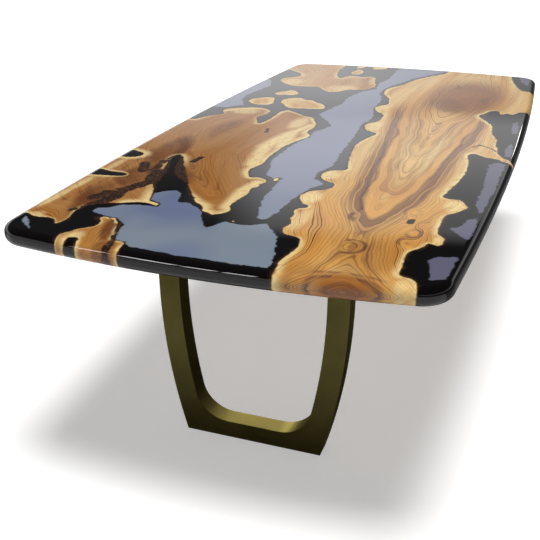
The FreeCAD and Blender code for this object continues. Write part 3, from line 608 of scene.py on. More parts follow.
@dataclass
class CadSlice:
    """A level cut through a CAD node, chained into closed loops."""

    node: bpy.types.Object
    level: float
    same: float = 0.01 * MM
    places: list[Place] = field(default_factory=list)
    known: dict[tuple[int, int], int] = field(default_factory=dict)

    def number(self, x: float, y: float) -> int:
        """Give one number to points that are the same but for rounding.

        Args:
            x: The point's place along the table.
            y: Its place across the table.

        Returns:
            The number of the point, or of an earlier one at the same place.
        """
        column, row = math.floor(x / self.same), math.floor(y / self.same)
        for step_x in (0, -1, 1):
            for step_y in (0, -1, 1):
                if (column + step_x, row + step_y) in self.known:
                    return self.known[column + step_x, row + step_y]
        self.known[column, row] = len(self.places)
        self.places.append((x, y))
        return len(self.places) - 1

    def cut(self) -> dict[int, set[int]]:
        """Cut the node's triangles at the level.

        Returns:
            Each cut point's neighbours along the cut.
        """
        mesh = self.node.data
        mesh.calc_loop_triangles()
        spots = np.empty(len(mesh.vertices) * 3)
        mesh.vertices.foreach_get("co", spots)
        corners = np.empty(len(mesh.loop_triangles) * 3, dtype=np.int32)
        mesh.loop_triangles.foreach_get("vertices", corners)
        spots, corners = spots.reshape(-1, 3), corners.reshape(-1, 3)
        above = spots[corners, 2] > self.level
        crossing = corners[above.any(axis=1) & ~above.all(axis=1)]
        beside: dict[int, set[int]] = defaultdict(set)
        for triangle in spots[crossing]:
            ends = []
            for start, end in ((0, 1), (1, 2), (2, 0)):
                low, high = sorted((triangle[start], triangle[end]), key=lambda spot: spot[2])
                if low[2] <= self.level < high[2]:
                    share = (self.level - low[2]) / (high[2] - low[2])
                    ends.append(self.number(*(low[:2] + (high[:2] - low[:2]) * share)))
            if len(ends) == 2 and ends[0] != ends[1]:
                beside[ends[0]].add(ends[1])
                beside[ends[1]].add(ends[0])
        return beside

    def loops(self) -> list[np.ndarray]:
        """Chain the cut into loops.

        Returns:
            Closed loops of plan points.
        """
        beside = self.cut()
        loops, seen = [], set()
        for begin in range(len(self.places)):
            if begin in seen or not beside[begin]:
                continue
            path = [begin]
            seen.add(begin)
            while following := [spot for spot in beside[path[-1]] if spot not in seen]:
                seen.add(following[0])
                path.append(following[0])
            loops.append(np.array([self.places[spot] for spot in path]))
        return loops


@dataclass
class TopOutline:
    """The rim of the table's top: two bowed ends, two bowed sides and four round corners."""

    length: float = 2660 * MM
    width: float = 1266 * MM
    side_bow: float = 38 * MM
    end_bow: float = 50 * MM
    corner_radius: float = 86 * MM
    edge_radius: float = 23 * MM
    step: float = 2 * MM
    hub_rounds: int = 40
    places: np.ndarray = field(init=False)
    normals: np.ndarray = field(init=False)
    tree: kdtree.KDTree = field(init=False)

    def __post_init__(self) -> None:
        """Sample the rim closely, with its outward normals."""
        half_x, half_y = self.length / 2, self.width / 2
        corner_x, corner_y = half_x - self.end_bow, half_y - self.side_bow
        end_radius = (corner_y ** 2 + self.end_bow ** 2) / (2 * self.end_bow)
        side_radius = (corner_x ** 2 + self.side_bow ** 2) / (2 * self.side_bow)
        end_hub, side_hub = half_x - end_radius, half_y - side_radius
        # The corner's hub is as far inside the end's arc as inside the side's, which a few rounds settle.
        hub = [corner_x - self.corner_radius, corner_y - self.corner_radius]
        for _ in range(self.hub_rounds):
            hub[0] = end_hub + math.sqrt((end_radius - self.corner_radius) ** 2 - hub[1] ** 2)
            hub[1] = side_hub + math.sqrt((side_radius - self.corner_radius) ** 2 - hub[0] ** 2)
        end_turn = math.atan2(hub[1], hub[0] - end_hub)
        side_turn = math.atan2(hub[1] - side_hub, hub[0])
        quarter = []
        for centre, radius, start, stop in (
            ((end_hub, 0.0), end_radius, 0.0, end_turn),
            (tuple(hub), self.corner_radius, end_turn, side_turn),
            ((0.0, side_hub), side_radius, side_turn, math.pi / 2),
        ):
            count = max(2, round(radius * (stop - start) / self.step))
            for turn in np.linspace(start, stop, count, endpoint=False):
                normal = (math.cos(turn), math.sin(turn))
                quarter.append((centre[0] + radius * normal[0], centre[1] + radius * normal[1], *normal))
        first = np.array(quarter + [(0.0, half_y, 0.0, 1.0)])
        second = first[-2::-1] * np.array((-1, 1, -1, 1))
        half = np.vstack((first, second))
        rows = np.vstack((half, -half[1:-1]))
        self.places, self.normals = rows[:, :2], rows[:, 2:]
        self.tree = plan_tree(self.places)

    @property
    def overhang(self) -> float:
        """How much further the round edge reaches when it is rolled out flat."""
        return self.edge_radius * (math.pi / 2 - 1)

    def place_of(self, shares: Any) -> np.ndarray:
        """Turn shares of the top's length and width into plan places."""
        return (np.array(shares, dtype=float) - 0.5) * np.array((self.length, self.width))

    def share_of(self, places: np.ndarray) -> np.ndarray:
        """Turn plan places into shares of the top's length and width."""
        return places / np.array((self.length, self.width)) + 0.5

    def nearest(self, points: np.ndarray) -> tuple[np.ndarray, np.ndarray, np.ndarray]:
        """Find the rim beside points.

        Args:
            points: Plan places, one row each.

        Returns:
            How far each point is inside the rim, the rim's normal there and the rim sample's number.
        """
        found = np.array([self.tree.find((x, y, 0.0))[1] for x, y in points])
        normals = self.normals[found]
        inside = ((self.places[found] - points) * normals).sum(axis=1)
        return inside, normals, found

    def roll_out(self, points: np.ndarray) -> np.ndarray:
        """Roll the round edge out flat.

        Args:
            points: Plan places.

        Returns:
            Their places on the flat sheet.
        """
        inside, normals, _ = self.nearest(points)
        radius = self.edge_radius
        lift = np.arccos(np.clip((radius - inside) / radius, -1, 1))
        flat = np.where(inside < radius, radius * (1 - math.pi / 2 + lift), inside)
        return points + normals * (inside - flat)[:, None]

    def roll_up(self, points: np.ndarray) -> tuple[np.ndarray, np.ndarray, np.ndarray, np.ndarray]:
        """Bend points of the flat sheet back round the edge.

        Args:
            points: Places on the flat sheet.

        Returns:
            Plan places, heights above the middle of the round edge, normals and distances from the rim.
        """
        flat, normals, _ = self.nearest(points)
        radius = self.edge_radius
        lift = np.clip(flat / radius - 1 + math.pi / 2, 0, math.pi / 2)
        inside = np.where(flat < radius, radius * (1 - np.cos(lift)), flat)
        plan = points + normals * (flat - inside)[:, None]
        upright = np.where(flat < radius, np.sin(lift), 1.0)
        outward = np.where(flat < radius, np.cos(lift), 0.0)
        return plan, radius * upright, np.column_stack((normals * outward[:, None], upright)), inside


@dataclass(frozen=True)
class Knot:
    """An eye in the wood that the rings bend round, placed by shares of the top's length and width."""

    place: Place
    along_mm: float
    across_mm: float
    lift_mm: float


@dataclass(frozen=True)
class Patch:
    """A soft oval of another tone."""

    place: Place
    along_mm: float
    across_mm: float
    strength: float = 1.0
    turn_deg: float = 0.0


@dataclass(frozen=True)
class Stroke:
    """A streak of another tone along a line of shares."""

    places: Line
    width_mm: float
    strength: float = 1.0


@dataclass(frozen=True)
class Band:
    """A run of dark years between two shares of the top's length, at one place across the rings."""

    across_mm: float
    width_mm: float
    start: float
    end: float
    strength: float = 1.0


@dataclass(frozen=True)
class Figure:
    """The figure of one piece of wood: how its rings run and where its tones lie."""

    grain: Grain
    seed: float
    spine: Line = ((0.0, 0.5), (1.0, 0.5))
    arch_mm: Line = ((0.0, 0.0), (1.0, 0.0))
    slope: Line = ((0.0, 0.0), (1.0, 0.0))
    knots: tuple[Knot, ...] = ()
    heart: tuple[Patch, ...] = ()
    cream: tuple[Patch, ...] = ()
    cream_lines: tuple[Stroke, ...] = ()
    warm: tuple[Patch, ...] = ()
    streaks: tuple[Stroke, ...] = ()
    bands: tuple[Band, ...] = ()
    bark: tuple[Stroke, ...] = ()
    sapwood_mm: float = 26.0
    bare: tuple[Patch, ...] = ()
    amber_share: float = 0.0
    finish: BurlWood = BURL_WOOD


def oval(place: Place, along: float, across: float, turn: float = math.tau) -> Line:
    """Draw shares along an oval eye or, with half a turn, along an arch that opens to the near end.

    Args:
        place: The oval's centre.
        along: Half of its length along the table.
        across: Half of its width.
        turn: How much of the oval is drawn.

    Returns:
        The oval's places.
    """
    return tuple(
        (place[0] + along * math.sin(angle), place[1] + across * math.cos(angle))
        for angle in np.linspace(0, turn, 17)
    )


RIGHT_FIGURE = Figure(
    Grain.CATHEDRAL, 1.0,
    spine=((0.0, .212), (.06, .232), (.12, .242), (.16, .245), (.22, .252), (.3, .243), (.38, .25),
           (.5, .25), (.65, .262), (.8, .24), (1.0, .23)),
    arch_mm=((0.0, 70), (.02, 48), (.045, 12), (.06, 0), (.13, 0), (.15, 14), (.19, 51), (.24, 82),
             (.3, 97), (.4, 118), (.5, 142), (.6, 165), (.7, 185), (1.0, 200)),
    knots=(
        Knot((.088, .245), 52, 19, 36), Knot((.107, .243), 28, 10, -18), Knot((.24, .255), 70, 26, 34),
        Knot((.02, .283), 34, 20, 16), Knot((.114, .152), 40, 22, 44), Knot((.139, .142), 34, 18, -36),
        Knot((.143, .103), 40, 20, 40), Knot((.165, .138), 34, 18, 40), Knot((.172, .28), 26, 16, 14),
        Knot((.171, .163), 36, 14, -20), Knot((.203, .172), 34, 18, 38), Knot((.193, .11), 44, 24, 30),
        Knot((.237, .257), 40, 16, -18), Knot((.215, .18), 40, 18, -12), Knot((.78, .225), 300, 150, -110),
        Knot((.64, .2), 60, 40, -20), Knot((.735, .26), 70, 34, 60), Knot((.8, .19), 60, 32, -55),
        Knot((.84, .26), 80, 34, 55), Knot((.765, .165), 46, 26, 44),
    ),
    heart=(
        Patch((.71, .26), 190, 90, .8, 12), Patch((.78, .21), 260, 90, .55), Patch((.86, .26), 140, 60, .5),
        Patch((.0, .21), 40, 80, .35), Patch((.088, .245), 40, 12, .35), Patch((.33, .23), 90, 12, .5),
        Patch((.365, .275), 120, 14, .5), Patch((.42, .25), 130, 12, .5), Patch((.48, .255), 150, 14, .5),
        Patch((.56, .25), 150, 18, .5),
    ),
    cream=(
        Patch((.21, .41), 70, 38), Patch((.295, .415), 55, 34), Patch((.14, .385), 110, 26, .7),
        Patch((.54, .43), 90, 40, .8), Patch((.66, .46), 60, 30, .8), Patch((.235, .09), 70, 36),
        Patch((.66, .10), 60, 50, .7), Patch((.13, .09), 40, 18, .8), Patch((.02, .11), 60, 26, .7),
        Patch((.24, .25), 60, 14, .25), Patch((.42, .21), 330, 14, .45),
    ),
    warm=(
        Patch((.78, .225), 410, 195), Patch((.0, .21), 90, 110, .9), Patch((.0, .3), 120, 90, .5),
        Patch((.06, .2), 170, 80, .45),
    ),
    bands=(
        Band(-10, 50, .1, .66, .8), Band(-55, 90, .2, .66, .6), Band(32, 30, .02, .5, .55),
        Band(70, 50, .25, .7, .5), Band(-110, 60, .4, .72, .5),
    ),
    streaks=(
        Stroke(oval((.0, .21), .017, .075, math.pi), 14, .8),
        Stroke(oval((.0, .21), .009, .045, math.pi), 12, .7),
        Stroke(oval((.0, .21), .026, .11, math.pi), 13, .6),
        Stroke(oval((.088, .245), .017, .027), 12, .85), Stroke(oval((.09, .247), .007, .011), 11, .8),
        Stroke(oval((.14, .143), .011, .015), 11, .75), Stroke(oval((.116, .152), .008, .014), 11, .7),
        Stroke(oval((.2, .17), .012, .016), 11, .75), Stroke(oval((.165, .125), .009, .013), 11, .7),
        Stroke(((.163, .291), (.174, .292), (.192, .28), (.228, .305), (.263, .307), (.347, .33),
                (.401, .337), (.465, .355)), 18, .95),
        Stroke(((.163, .291), (.152, .251), (.161, .22), (.198, .201), (.217, .183), (.252, .171),
                (.305, .169), (.355, .164), (.432, .16), (.481, .156)), 34, .8),
    ),
    bark=(
        Stroke(((.475, .12), (.488, .105), (.474, .069), (.453, .044)), 11, .75),
        Stroke(((.168, .164), (.176, .163)), 21, 1.0),
    ),
    sapwood_mm=15.0,
)
LEFT_FIGURE = Figure(
    Grain.CATHEDRAL, 2.0,
    spine=((.18, .63), (.25, .74), (.32, .83), (.45, .84), (.6, .8)),
    arch_mm=((.0, 0), (.15, 0), (.25, 24), (.35, 60), (.5, 110), (.6, 130)),
    knots=(
        Knot((.33, .88), 150, 60, 60), Knot((.47, .72), 60, 30, 25), Knot((.53, .86), 90, 60, 40),
        Knot((.09, .89), 90, 45, 40), Knot((.21, .9), 60, 30, -25),
    ),
    heart=(
        Patch((.33, .88), 260, 80, 1.0, 4), Patch((.27, .78), 260, 60, .6, 24),
        Patch((.44, .84), 260, 90, .65), Patch((.24, .7), 120, 30, .3, 30),
        Patch((.13, .87), 230, 70, 1.0, 10), Patch((.22, .86), 170, 80),
    ),
    cream=(
        Patch((.43, .625), 190, 30, .95, 6), Patch((.52, .65), 110, 40, .8), Patch((.2, .562), 130, 12, .9),
        Patch((.565, .86), 60, 70, .6), Patch((.06, .93), 40, 30, .7), Patch((.12, .955), 120, 16, .8),
        Patch((.17, .955), 90, 18, .8), Patch((.25, .955), 90, 18, .7),
    ),
    cream_lines=(
        Stroke(((.258, .602), (.285, .617), (.305, .626)), 22),
        Stroke(((.305, .626), (.345, .64), (.385, .655)), 54),
        Stroke(((.385, .655), (.42, .648), (.46, .634)), 58), Stroke(((.46, .634), (.515, .608)), 30),
        Stroke(((.24, .56), (.207, .572), (.173, .566), (.149, .562)), 40),
        Stroke(((.545, .618), (.575, .648), (.598, .69), (.6, .72), (.588, .745)), 36, .9),
        Stroke(((.59, .816), (.583, .861), (.568, .9), (.556, .925)), 34, .9),
    ),
    streaks=(
        Stroke(((.2, .63), (.28, .69), (.36, .72), (.46, .73)), 12, .5),
        Stroke(((.1, .93), (.2, .915), (.28, .925), (.36, .93)), 16, .6),
    ),
    bark=(
        Stroke(((.1, .85), (.12, .84), (.14, .83), (.165, .835), (.2, .805), (.24, .825)), 48, 1.0),
        Stroke(((.13, .87), (.15, .86)), 50, .9),
        Stroke(((.236, .866), (.25, .875), (.266, .89)), 34, 1.0),
        Stroke(((.29, .78), (.312, .775)), 22, 1.0),
        Stroke(((.455, .705), (.475, .715)), 16, .9),
        Stroke(((.086, .875), (.092, .87)), 20, .8),
        Stroke(((.16, .66), (.19, .7), (.23, .745), (.27, .795), (.305, .83)), 26, .85),
        Stroke(((.24, .84), (.28, .85), (.31, .84)), 34, .7),
    ),
    sapwood_mm=20.0,
    bare=(Patch((.225, .755), 190, 120, 1.0, 20), Patch((.13, .83), 110, 40), Patch((.17, .82), 90, 40),
          Patch((.53, .86), 200, 150, .7)),
    amber_share=0.8,
    finish=CALM_WOOD,
)
CORNER_FIGURE = Figure(
    Grain.SLANTED, 3.0, slope=((0.0, .35), (.1, .35)),
    heart=(Patch((.05, .735), 110, 30, .9, 20), Patch((.01, .7), 60, 40, .7)),
    cream=(Patch((.02, .785), 50, 30, .9), Patch((.045, .805), 40, 14, .7)),
    bark=(
        Stroke(((.0, .69), (.03, .7), (.05, .715), (.075, .735)), 24, .85),
        Stroke(((.07, .75), (.08, .77)), 12, .6),
    ),
    sapwood_mm=14.0,
    amber_share=0.7,
    finish=CALM_WOOD,
)
FAR_FIGURE = Figure(
    Grain.SLANTED, 4.0, slope=((.7, .3), (.85, .1), (1.0, .35)),
    knots=(Knot((.83, .65), 150, 110, 80), Knot((.9, .86), 160, 90, 50)),
    heart=(Patch((.84, .66), 140, 90, .35), Patch((.92, .86), 160, 60, .3)),
    cream=(Patch((.77, .66), 90, 90, .6), Patch((.8, .87), 90, 60, .7), Patch((.86, .58), 120, 40, .6)),
    sapwood_mm=22.0,
    bare=(Patch((.85, .75), 700, 600, .3),),
    amber_share=0.5,
    finish=CALM_WOOD,
)
SLICE_FIGURE = Figure(
    Grain.ONION, 5.0,
    sapwood_mm=48.0,
    bare=(Patch((.8, .7), 700, 600, .3),),
    amber_share=0.3,
    finish=CALM_WOOD,
)
WOOD_FIGURES = {
    "right_slab": RIGHT_FIGURE,
    "left_slab": LEFT_FIGURE,
    "near_corner_slab": CORNER_FIGURE,
    "far_left_slab": FAR_FIGURE,
    **dict.fromkeys((
        "end_burl_slice", "end_wood_strip", "round_burl_slice", "double_burl_slice", "small_burl_slice",
        "far_burl_slice", "river_chips",
    ), SLICE_FIGURE),
}
# One place inside each body of resin, as shares of the top.
RESIN_PLACES = {
    "river_resin": ((.5, .5),),
    "near_right_resin": ((.3, .06),),
    "middle_right_resin": ((.55, .04),),
    "far_right_resin": ((.95, .06),),
    "rim_resin_fills": ((.213, .95), (.298, .965), (.01, .779)),
}
# Where the painted lavender reflection lies on the resin, as closed outlines of shares.
PAINTED_REFLECTION_POOLS = (
    ((.013, .36), (.05, .375), (.09, .40), (.118, .445), (.108, .47), (.105, .5), (.11, .53), (.085, .553),
     (.1, .575), (.13, .605), (.148, .65), (.147, .68), (.175, .70), (.182, .715), (.172, .75),
     (.165, .757), (.143, .745), (.138, .712), (.127, .705), (.124, .76), (.12, .785), (.108, .8),
     (.1, .828), (.09, .825), (.083, .79), (.08, .75), (.068, .722), (.045, .712), (.028, .695),
     (.018, .652), (.013, .55)),
    ((.127, .455), (.16, .445), (.2, .442), (.24, .43), (.26, .41), (.275, .44), (.3, .45), (.33, .43),
     (.4, .445), (.465, .454), (.498, .458), (.546, .47), (.579, .457), (.61, .465), (.647, .484),
     (.7, .487), (.73, .5), (.76, .522), (.791, .52), (.824, .51), (.85, .49), (.9, .46), (.94, .42),
     (.985, .37), (.987, .55), (.969, .552), (.886, .545), (.839, .558), (.788, .548), (.76, .584),
     (.707, .606), (.663, .597), (.616, .617), (.581, .626), (.56, .6), (.543, .572), (.518, .549),
     (.478, .575), (.403, .588), (.33, .594), (.27, .56), (.25, .515), (.2, .51), (.165, .495),
     (.13, .475)),
    ((.575, .985), (.579, .935), (.603, .9), (.634, .93), (.669, .945), (.7, .935), (.755, .922),
     (.79, .945), (.812, .972), (.871, .978), (.9, .985), (.8, .99), (.65, .99)),
    ((.08, .092), (.09, .073), (.096, .039), (.055, .043), (.041, .045), (.037, .072)),
    ((.167, .08), (.176, .062), (.196, .052), (.206, .034), (.164, .03), (.139, .035), (.149, .054),
     (.158, .069)),
    ((.399, .059), (.357, .055), (.299, .048), (.269, .052), (.245, .049), (.219, .033), (.236, .027),
     (.296, .022), (.367, .02), (.407, .018), (.412, .039)),
    ((.481, .036), (.506, .026), (.48, .014), (.443, .014), (.445, .03)),
    ((.621, .045), (.63, .03), (.566, .018), (.558, .034)),
    ((.9, .045), (.93, .075), (.975, .09), (.97, .05)),
    ((.027, .895), (.04, .935), (.055, .945), (.05, .93)),
)
# Where pieces of bark have stayed in the resin.
BARK_NESTS = (
    Patch((.235, .785), 150, 70, 1.0, 22), Patch((.075, .82), 70, 40), Patch((.09, .47), 60, 40, .6),
)


@dataclass
class PieceMesh:
    """The corners and faces of one piece of the top while it is closed into a solid."""

    top: "RiverTop"
    spots: list[Spot] = field(default_factory=list)
    source: list[int] = field(default_factory=list)
    numbers: dict[tuple[int, Layer], int] = field(default_factory=dict)
    faces: list[list[int]] = field(default_factory=list)
    normals: list[Spot] = field(default_factory=list)

    def corner(self, point: int, layer: Layer) -> int:
        """Number a point of the sheet on one of the top's faces.

        Args:
            point: The point's number on the sheet.
            layer: The face that it lies on.

        Returns:
            The corner's number in the piece.
        """
        key = (point, layer)
        if key not in self.numbers:
            self.numbers[key] = len(self.spots)
            x, y = self.top.plan[point]
            self.spots.append((x, y, self.top.level(point, layer)))
            self.source.append(point)
        return self.numbers[key]

    def add(self, corners: list[int], normals: list[Spot]) -> None:
        """Add a face with a normal for each of its corners."""
        self.faces.append(corners)
        self.normals.extend(normals)

    def close_side(self, sides: list[tuple[int, int, Layer]]) -> None:
        """Add the wall along one edge of the piece's triangles, if the edge has one.

        Args:
            sides: For each triangle on the edge, where the edge starts and ends and the face below.
        """
        start, end, low = sides[0]
        rim = False
        if len(sides) == 1:
            rim = max(self.top.rim[start], self.top.rim[end]) < self.top.rim_touch
            # A wall that ends at a groove has a corner at the groove's roof as well.
            waist = [self.corner(point, self.waist_layer(point, low)) for point in (end, start)]
            upper = (self.corner(end, Layer.TOP), self.corner(start, Layer.TOP), waist[1], waist[0])
            walls = [list(dict.fromkeys(upper)), [*waist, self.corner(start, low), self.corner(end, low)]]
        elif low is not sides[1][2]:
            start, end, _ = sides[0] if low is Layer.UNDERSIDE else sides[1]
            roof, under = Layer.GROOVE_ROOF, Layer.UNDERSIDE
            walls = [[self.corner(end, roof), self.corner(start, roof),
                      self.corner(start, under), self.corner(end, under)]]
        else:
            return
        run = self.top.plan[end] - self.top.plan[start]
        length = max(float(np.hypot(*run)), 1e-9)
        side = (float(run[1]) / length, float(-run[0]) / length, 0.0)
        for wall in walls:
            if len(wall) > 2:
                outward = [(*self.top.normals[point][:2], 0.0) for point in (end, start, start, end)]
                self.add(wall, outward if rim else [side] * len(wall))

    def waist_layer(self, point: int, low: Layer) -> Layer:
        """Tell where the lower part of a wall starts at one of its ends.

        Args:
            point: The end's number on the sheet.
            low: The face below the wall.

        Returns:
            The groove's roof where the wall runs into a groove, and the top elsewhere.
        """
        grooved = low is Layer.UNDERSIDE and (point, Layer.GROOVE_ROOF) in self.numbers
        return Layer.GROOVE_ROOF if grooved else Layer.TOP

    def make(self, name: str) -> bpy.types.Object:
        """Turn the corners and faces into an object.

        Args:
            name: The node that the piece stands for.

        Returns:
            The piece, linked to the scene.
        """
        mesh = bpy.data.meshes.new(name + "_cast")
        mesh.from_pydata(self.spots, [], self.faces)
        mesh.polygons.foreach_set("use_smooth", [True] * len(mesh.polygons))
        mesh.normals_split_custom_set(self.normals)
        piece = bpy.data.objects.new(name + "_piece", mesh)
        bpy.context.scene.collection.objects.link(piece)
        return piece


@dataclass
class RiverTop:
    """The table's top: wood slabs and resin, meshed as one sheet so that neighbours meet exactly."""

    outline: TopOutline = field(default_factory=TopOutline)
    height: float = 750 * MM
    thickness: float = 50 * MM
    # The level at which the slabs are cut for their outlines, in the upper part of the round edge.
    cut_level: float = 739 * MM
    # An outline's point this near the rim lies on the rim, and a wall this near it takes the rim's normals.
    rim_snap: float = 4.8 * MM
    rim_touch: float = 0.5 * MM
    # Distances between the sheet's points: inside, along the live edges, round the rim and at the grooves.
    grid: float = 6.5 * MM
    outline_step: float = 1.6 * MM
    edge_step: float = 2.5 * MM
    edge_least: float = 4.5 * MM
    edge_most: float = 7 * MM
    rim_stride: int = 4
    groove_step: float = 10 * MM
    live_step: float = 2 * MM
    weld: float = 1e-7
    groove_places: tuple[float, float] = (-430 * MM, 430 * MM)
    groove_half_width: float = 20.3 * MM
    groove_half_length: float = 450.3 * MM
    groove_depth: float = 20.3 * MM
    # How the rings run: round the spine, along the live edges, round a slice by the radian, and down the
    # near end between two shares of the length.
    spine_round: float = 16 * MM
    edge_lift: float = 26 * MM
    edge_reach: float = 24 * MM
    slice_run: float = 100 * MM
    end_fall: float = 1.8
    end_span: Place = (0.02, 0.05)
    slope_steps: int = 400
    # Where soft borders start and end, as shares of half the width of a patch, stroke or band, and of the
    # sapwood's width.
    patch_border: Place = (0.45, 1.15)
    stroke_border: Place = (0.3, 1.6)
    band_border: Place = (0.3, 1.3)
    sapwood_border: Place = (0.25, 1.25)
    # How much the sapwood's width varies, and how often along and across the top.
    sapwood_sway: float = 0.35
    sapwood_waves: tuple[float, float] = (41.0, 37.0)
    cream_most: float = 0.92
    # How wide the soft border of a painted reflection pool is, and how far the bark's crumbs spread at its
    # nests.
    painted_reflection_border: float = 36 * MM
    nest_spread: float = 12 * MM
    plan: np.ndarray = field(init=False)
    rise: np.ndarray = field(init=False)
    normals: np.ndarray = field(init=False)
    rim: np.ndarray = field(init=False)
    live: np.ndarray = field(init=False)
    sheet: np.ndarray = field(init=False)
    triangles: np.ndarray = field(init=False)
    owners: np.ndarray = field(init=False)
    grooves: np.ndarray = field(init=False)
    names: list[str] = field(init=False)

    def build(self) -> None:
        """Mesh the sheet, share it out among the nodes and make one dressed piece for each."""
        walls, regions = self.trace()
        self.mesh_sheet(walls)
        self.share_out(regions)
        samples = plan_tree(np.vstack([divide(wall, self.live_step) for wall in walls]))
        self.live = np.array([samples.find((x, y, 0.0))[2] for x, y in self.plan])
        woods = {finish: finish.material() for finish in (BURL_WOOD, CALM_WOOD)}
        resin = RESIN_WITH_PAINTED_REFLECTIONS.material()
        for number, name in enumerate(self.names):
            cast = self.close_up(np.nonzero(self.owners == number)[0])
            piece = cast.make(name)
            points = np.array(cast.source)
            if name in WOOD_FIGURES:
                piece.data.materials.append(woods[WOOD_FIGURES[name].finish])
                self.dress_wood(piece, points, WOOD_FIGURES[name])
            else:
                piece.data.materials.append(resin)
                self.dress_resin(piece, points)
            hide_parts(name)
            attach(piece, "table")
            LOG.info("%s: %d faces", piece.name, len(piece.data.polygons))

    def trace(self) -> tuple[list[np.ndarray], dict[str, list[np.ndarray]]]:
        """Cut the CAD slabs and sort their outlines into live edges and rim.

        Returns:
            Live edges as open or closed runs of plan points, and each wood node's closed regions on the
            sheet.
        """
        walls, regions = [], defaultdict(list)
        for name in WOOD_FIGURES:
            for loop in CadSlice(frame["nodes"][name], self.cut_level).loops():
                loop = thin(np.vstack((loop, loop[:1])), self.outline_step)[:-1]
                inside, normals, _ = self.outline.nearest(loop)
                on_rim = inside < self.rim_snap
                moved = np.where(on_rim[:, None], loop + normals * inside[:, None], loop)
                flat = self.outline.roll_out(moved)
                regions[name].append(np.where(on_rim[:, None], flat + normals * self.grid, flat))
                if not on_rim.any():
                    walls.append(np.vstack((loop, loop[:1])))
                    continue
                start = int(np.nonzero(on_rim)[0][0])
                run: list[int] = []
                for index in (*range(start, len(loop)), *range(start + 1)):
                    run.append(index)
                    if on_rim[index]:
                        if len(run) > 2:
                            walls.append(moved[run])
                        run = [index]
        return walls, regions

    def mesh_sheet(self, walls: list[np.ndarray]) -> None:
        """Fill the flat sheet with small triangles that keep the live edges, the rim and the grooves.

        Args:
            walls: The live edges as runs of plan points.
        """
        lines = []
        rim_marks = [np.arange(0, len(self.outline.places), self.rim_stride)]
        for wall in walls:
            flat = self.outline.roll_out(divide(wall, self.edge_step))
            lines.append(divide(thin(flat, self.edge_least), self.edge_most))
            if np.hypot(*(wall[0] - wall[-1])) > self.grid:
                rim_marks.append(self.outline.nearest(wall[[0, -1]])[2])
        marks = np.unique(np.concatenate(rim_marks))
        ring = self.outline.places[marks] + self.outline.normals[marks] * self.outline.overhang
        lines.append(np.vstack((ring, ring[:1])))
        x, y = self.groove_half_width, self.groove_half_length
        corners = np.array([(-x, -y), (x, -y), (x, y), (-x, y), (-x, -y)])
        for middle in self.groove_places:
            lines.append(divide(corners + np.array((middle, 0.0)), self.groove_step))
        links: list[tuple[int, int]] = []
        count = 0
        for line in lines:
            links.extend((index, index + 1) for index in range(count, count + len(line) - 1))
            count += len(line)
        held = np.vstack(lines)
        spots = [Vector(spot) for spot in np.vstack((held, self.loose_points(held))).tolist()]
        result = geometry.delaunay_2d_cdt(spots, links, [], 0, self.weld, False)
        self.sheet = np.array([tuple(spot) for spot in result[0]])
        self.triangles = np.array([face for face in result[2] if len(face) == 3])
        self.plan, self.rise, self.normals, self.rim = self.outline.roll_up(self.sheet)
        LOG.info("sheet: %d points, %d triangles", len(self.sheet), len(self.triangles))

    def loose_points(self, held: np.ndarray) -> np.ndarray:
        """Strew a triangular grid over the flat sheet, clear of the points that are already there.

        Args:
            held: The points of the live edges, the rim and the grooves.

        Returns:
            The grid's points.
        """
        half_x, half_y = self.outline.length / 2 + 2 * self.grid, self.outline.width / 2 + 2 * self.grid
        rows = np.arange(-half_y, half_y, self.grid * math.sqrt(3) / 2)
        columns = np.arange(-half_x, half_x, self.grid)
        grid_x, grid_y = np.meshgrid(columns, rows)
        grid_x = grid_x + (np.arange(len(rows)) % 2)[:, None] * self.grid / 2
        loose = np.column_stack((grid_x.ravel(), grid_y.ravel()))
        inside, _, _ = self.outline.nearest(loose)
        loose = loose[inside > 0.5 * self.grid - self.outline.overhang]
        near = plan_tree(held)
        gaps = np.array([near.find((x, y, 0.0))[2] for x, y in loose])
        return loose[gaps > 0.5 * self.grid]

    def share_out(self, regions: dict[str, list[np.ndarray]]) -> None:
        """Give every triangle of the sheet to its node, and find those over the grooves.

        Args:
            regions: Closed regions of each wood node on the sheet.
        """
        self.names = list(WOOD_FIGURES) + list(RESIN_PLACES)
        middles = self.sheet[self.triangles].mean(axis=1)
        self.owners = np.full(len(self.triangles), -1)
        for number, name in enumerate(WOOD_FIGURES):
            odd = np.zeros(len(middles), dtype=bool)
            for region in regions[name]:
                odd ^= inside_loop(middles, region)
            self.owners[odd] = number
        self.spread_resin(middles)
        # A triangle that neither reaches goes to the nearest owner.
        given = np.nonzero(self.owners >= 0)[0]
        for index in np.nonzero(self.owners < 0)[0]:
            gaps = np.hypot(*(middles[given] - middles[index]).T)
            self.owners[index] = self.owners[given[np.argmin(gaps)]]
        self.grooves = np.zeros(len(middles), dtype=bool)
        reach = np.array((self.groove_half_width, self.groove_half_length))
        for middle in self.groove_places:
            self.grooves |= (np.abs(middles - np.array((middle, 0.0))) < reach).all(axis=1)

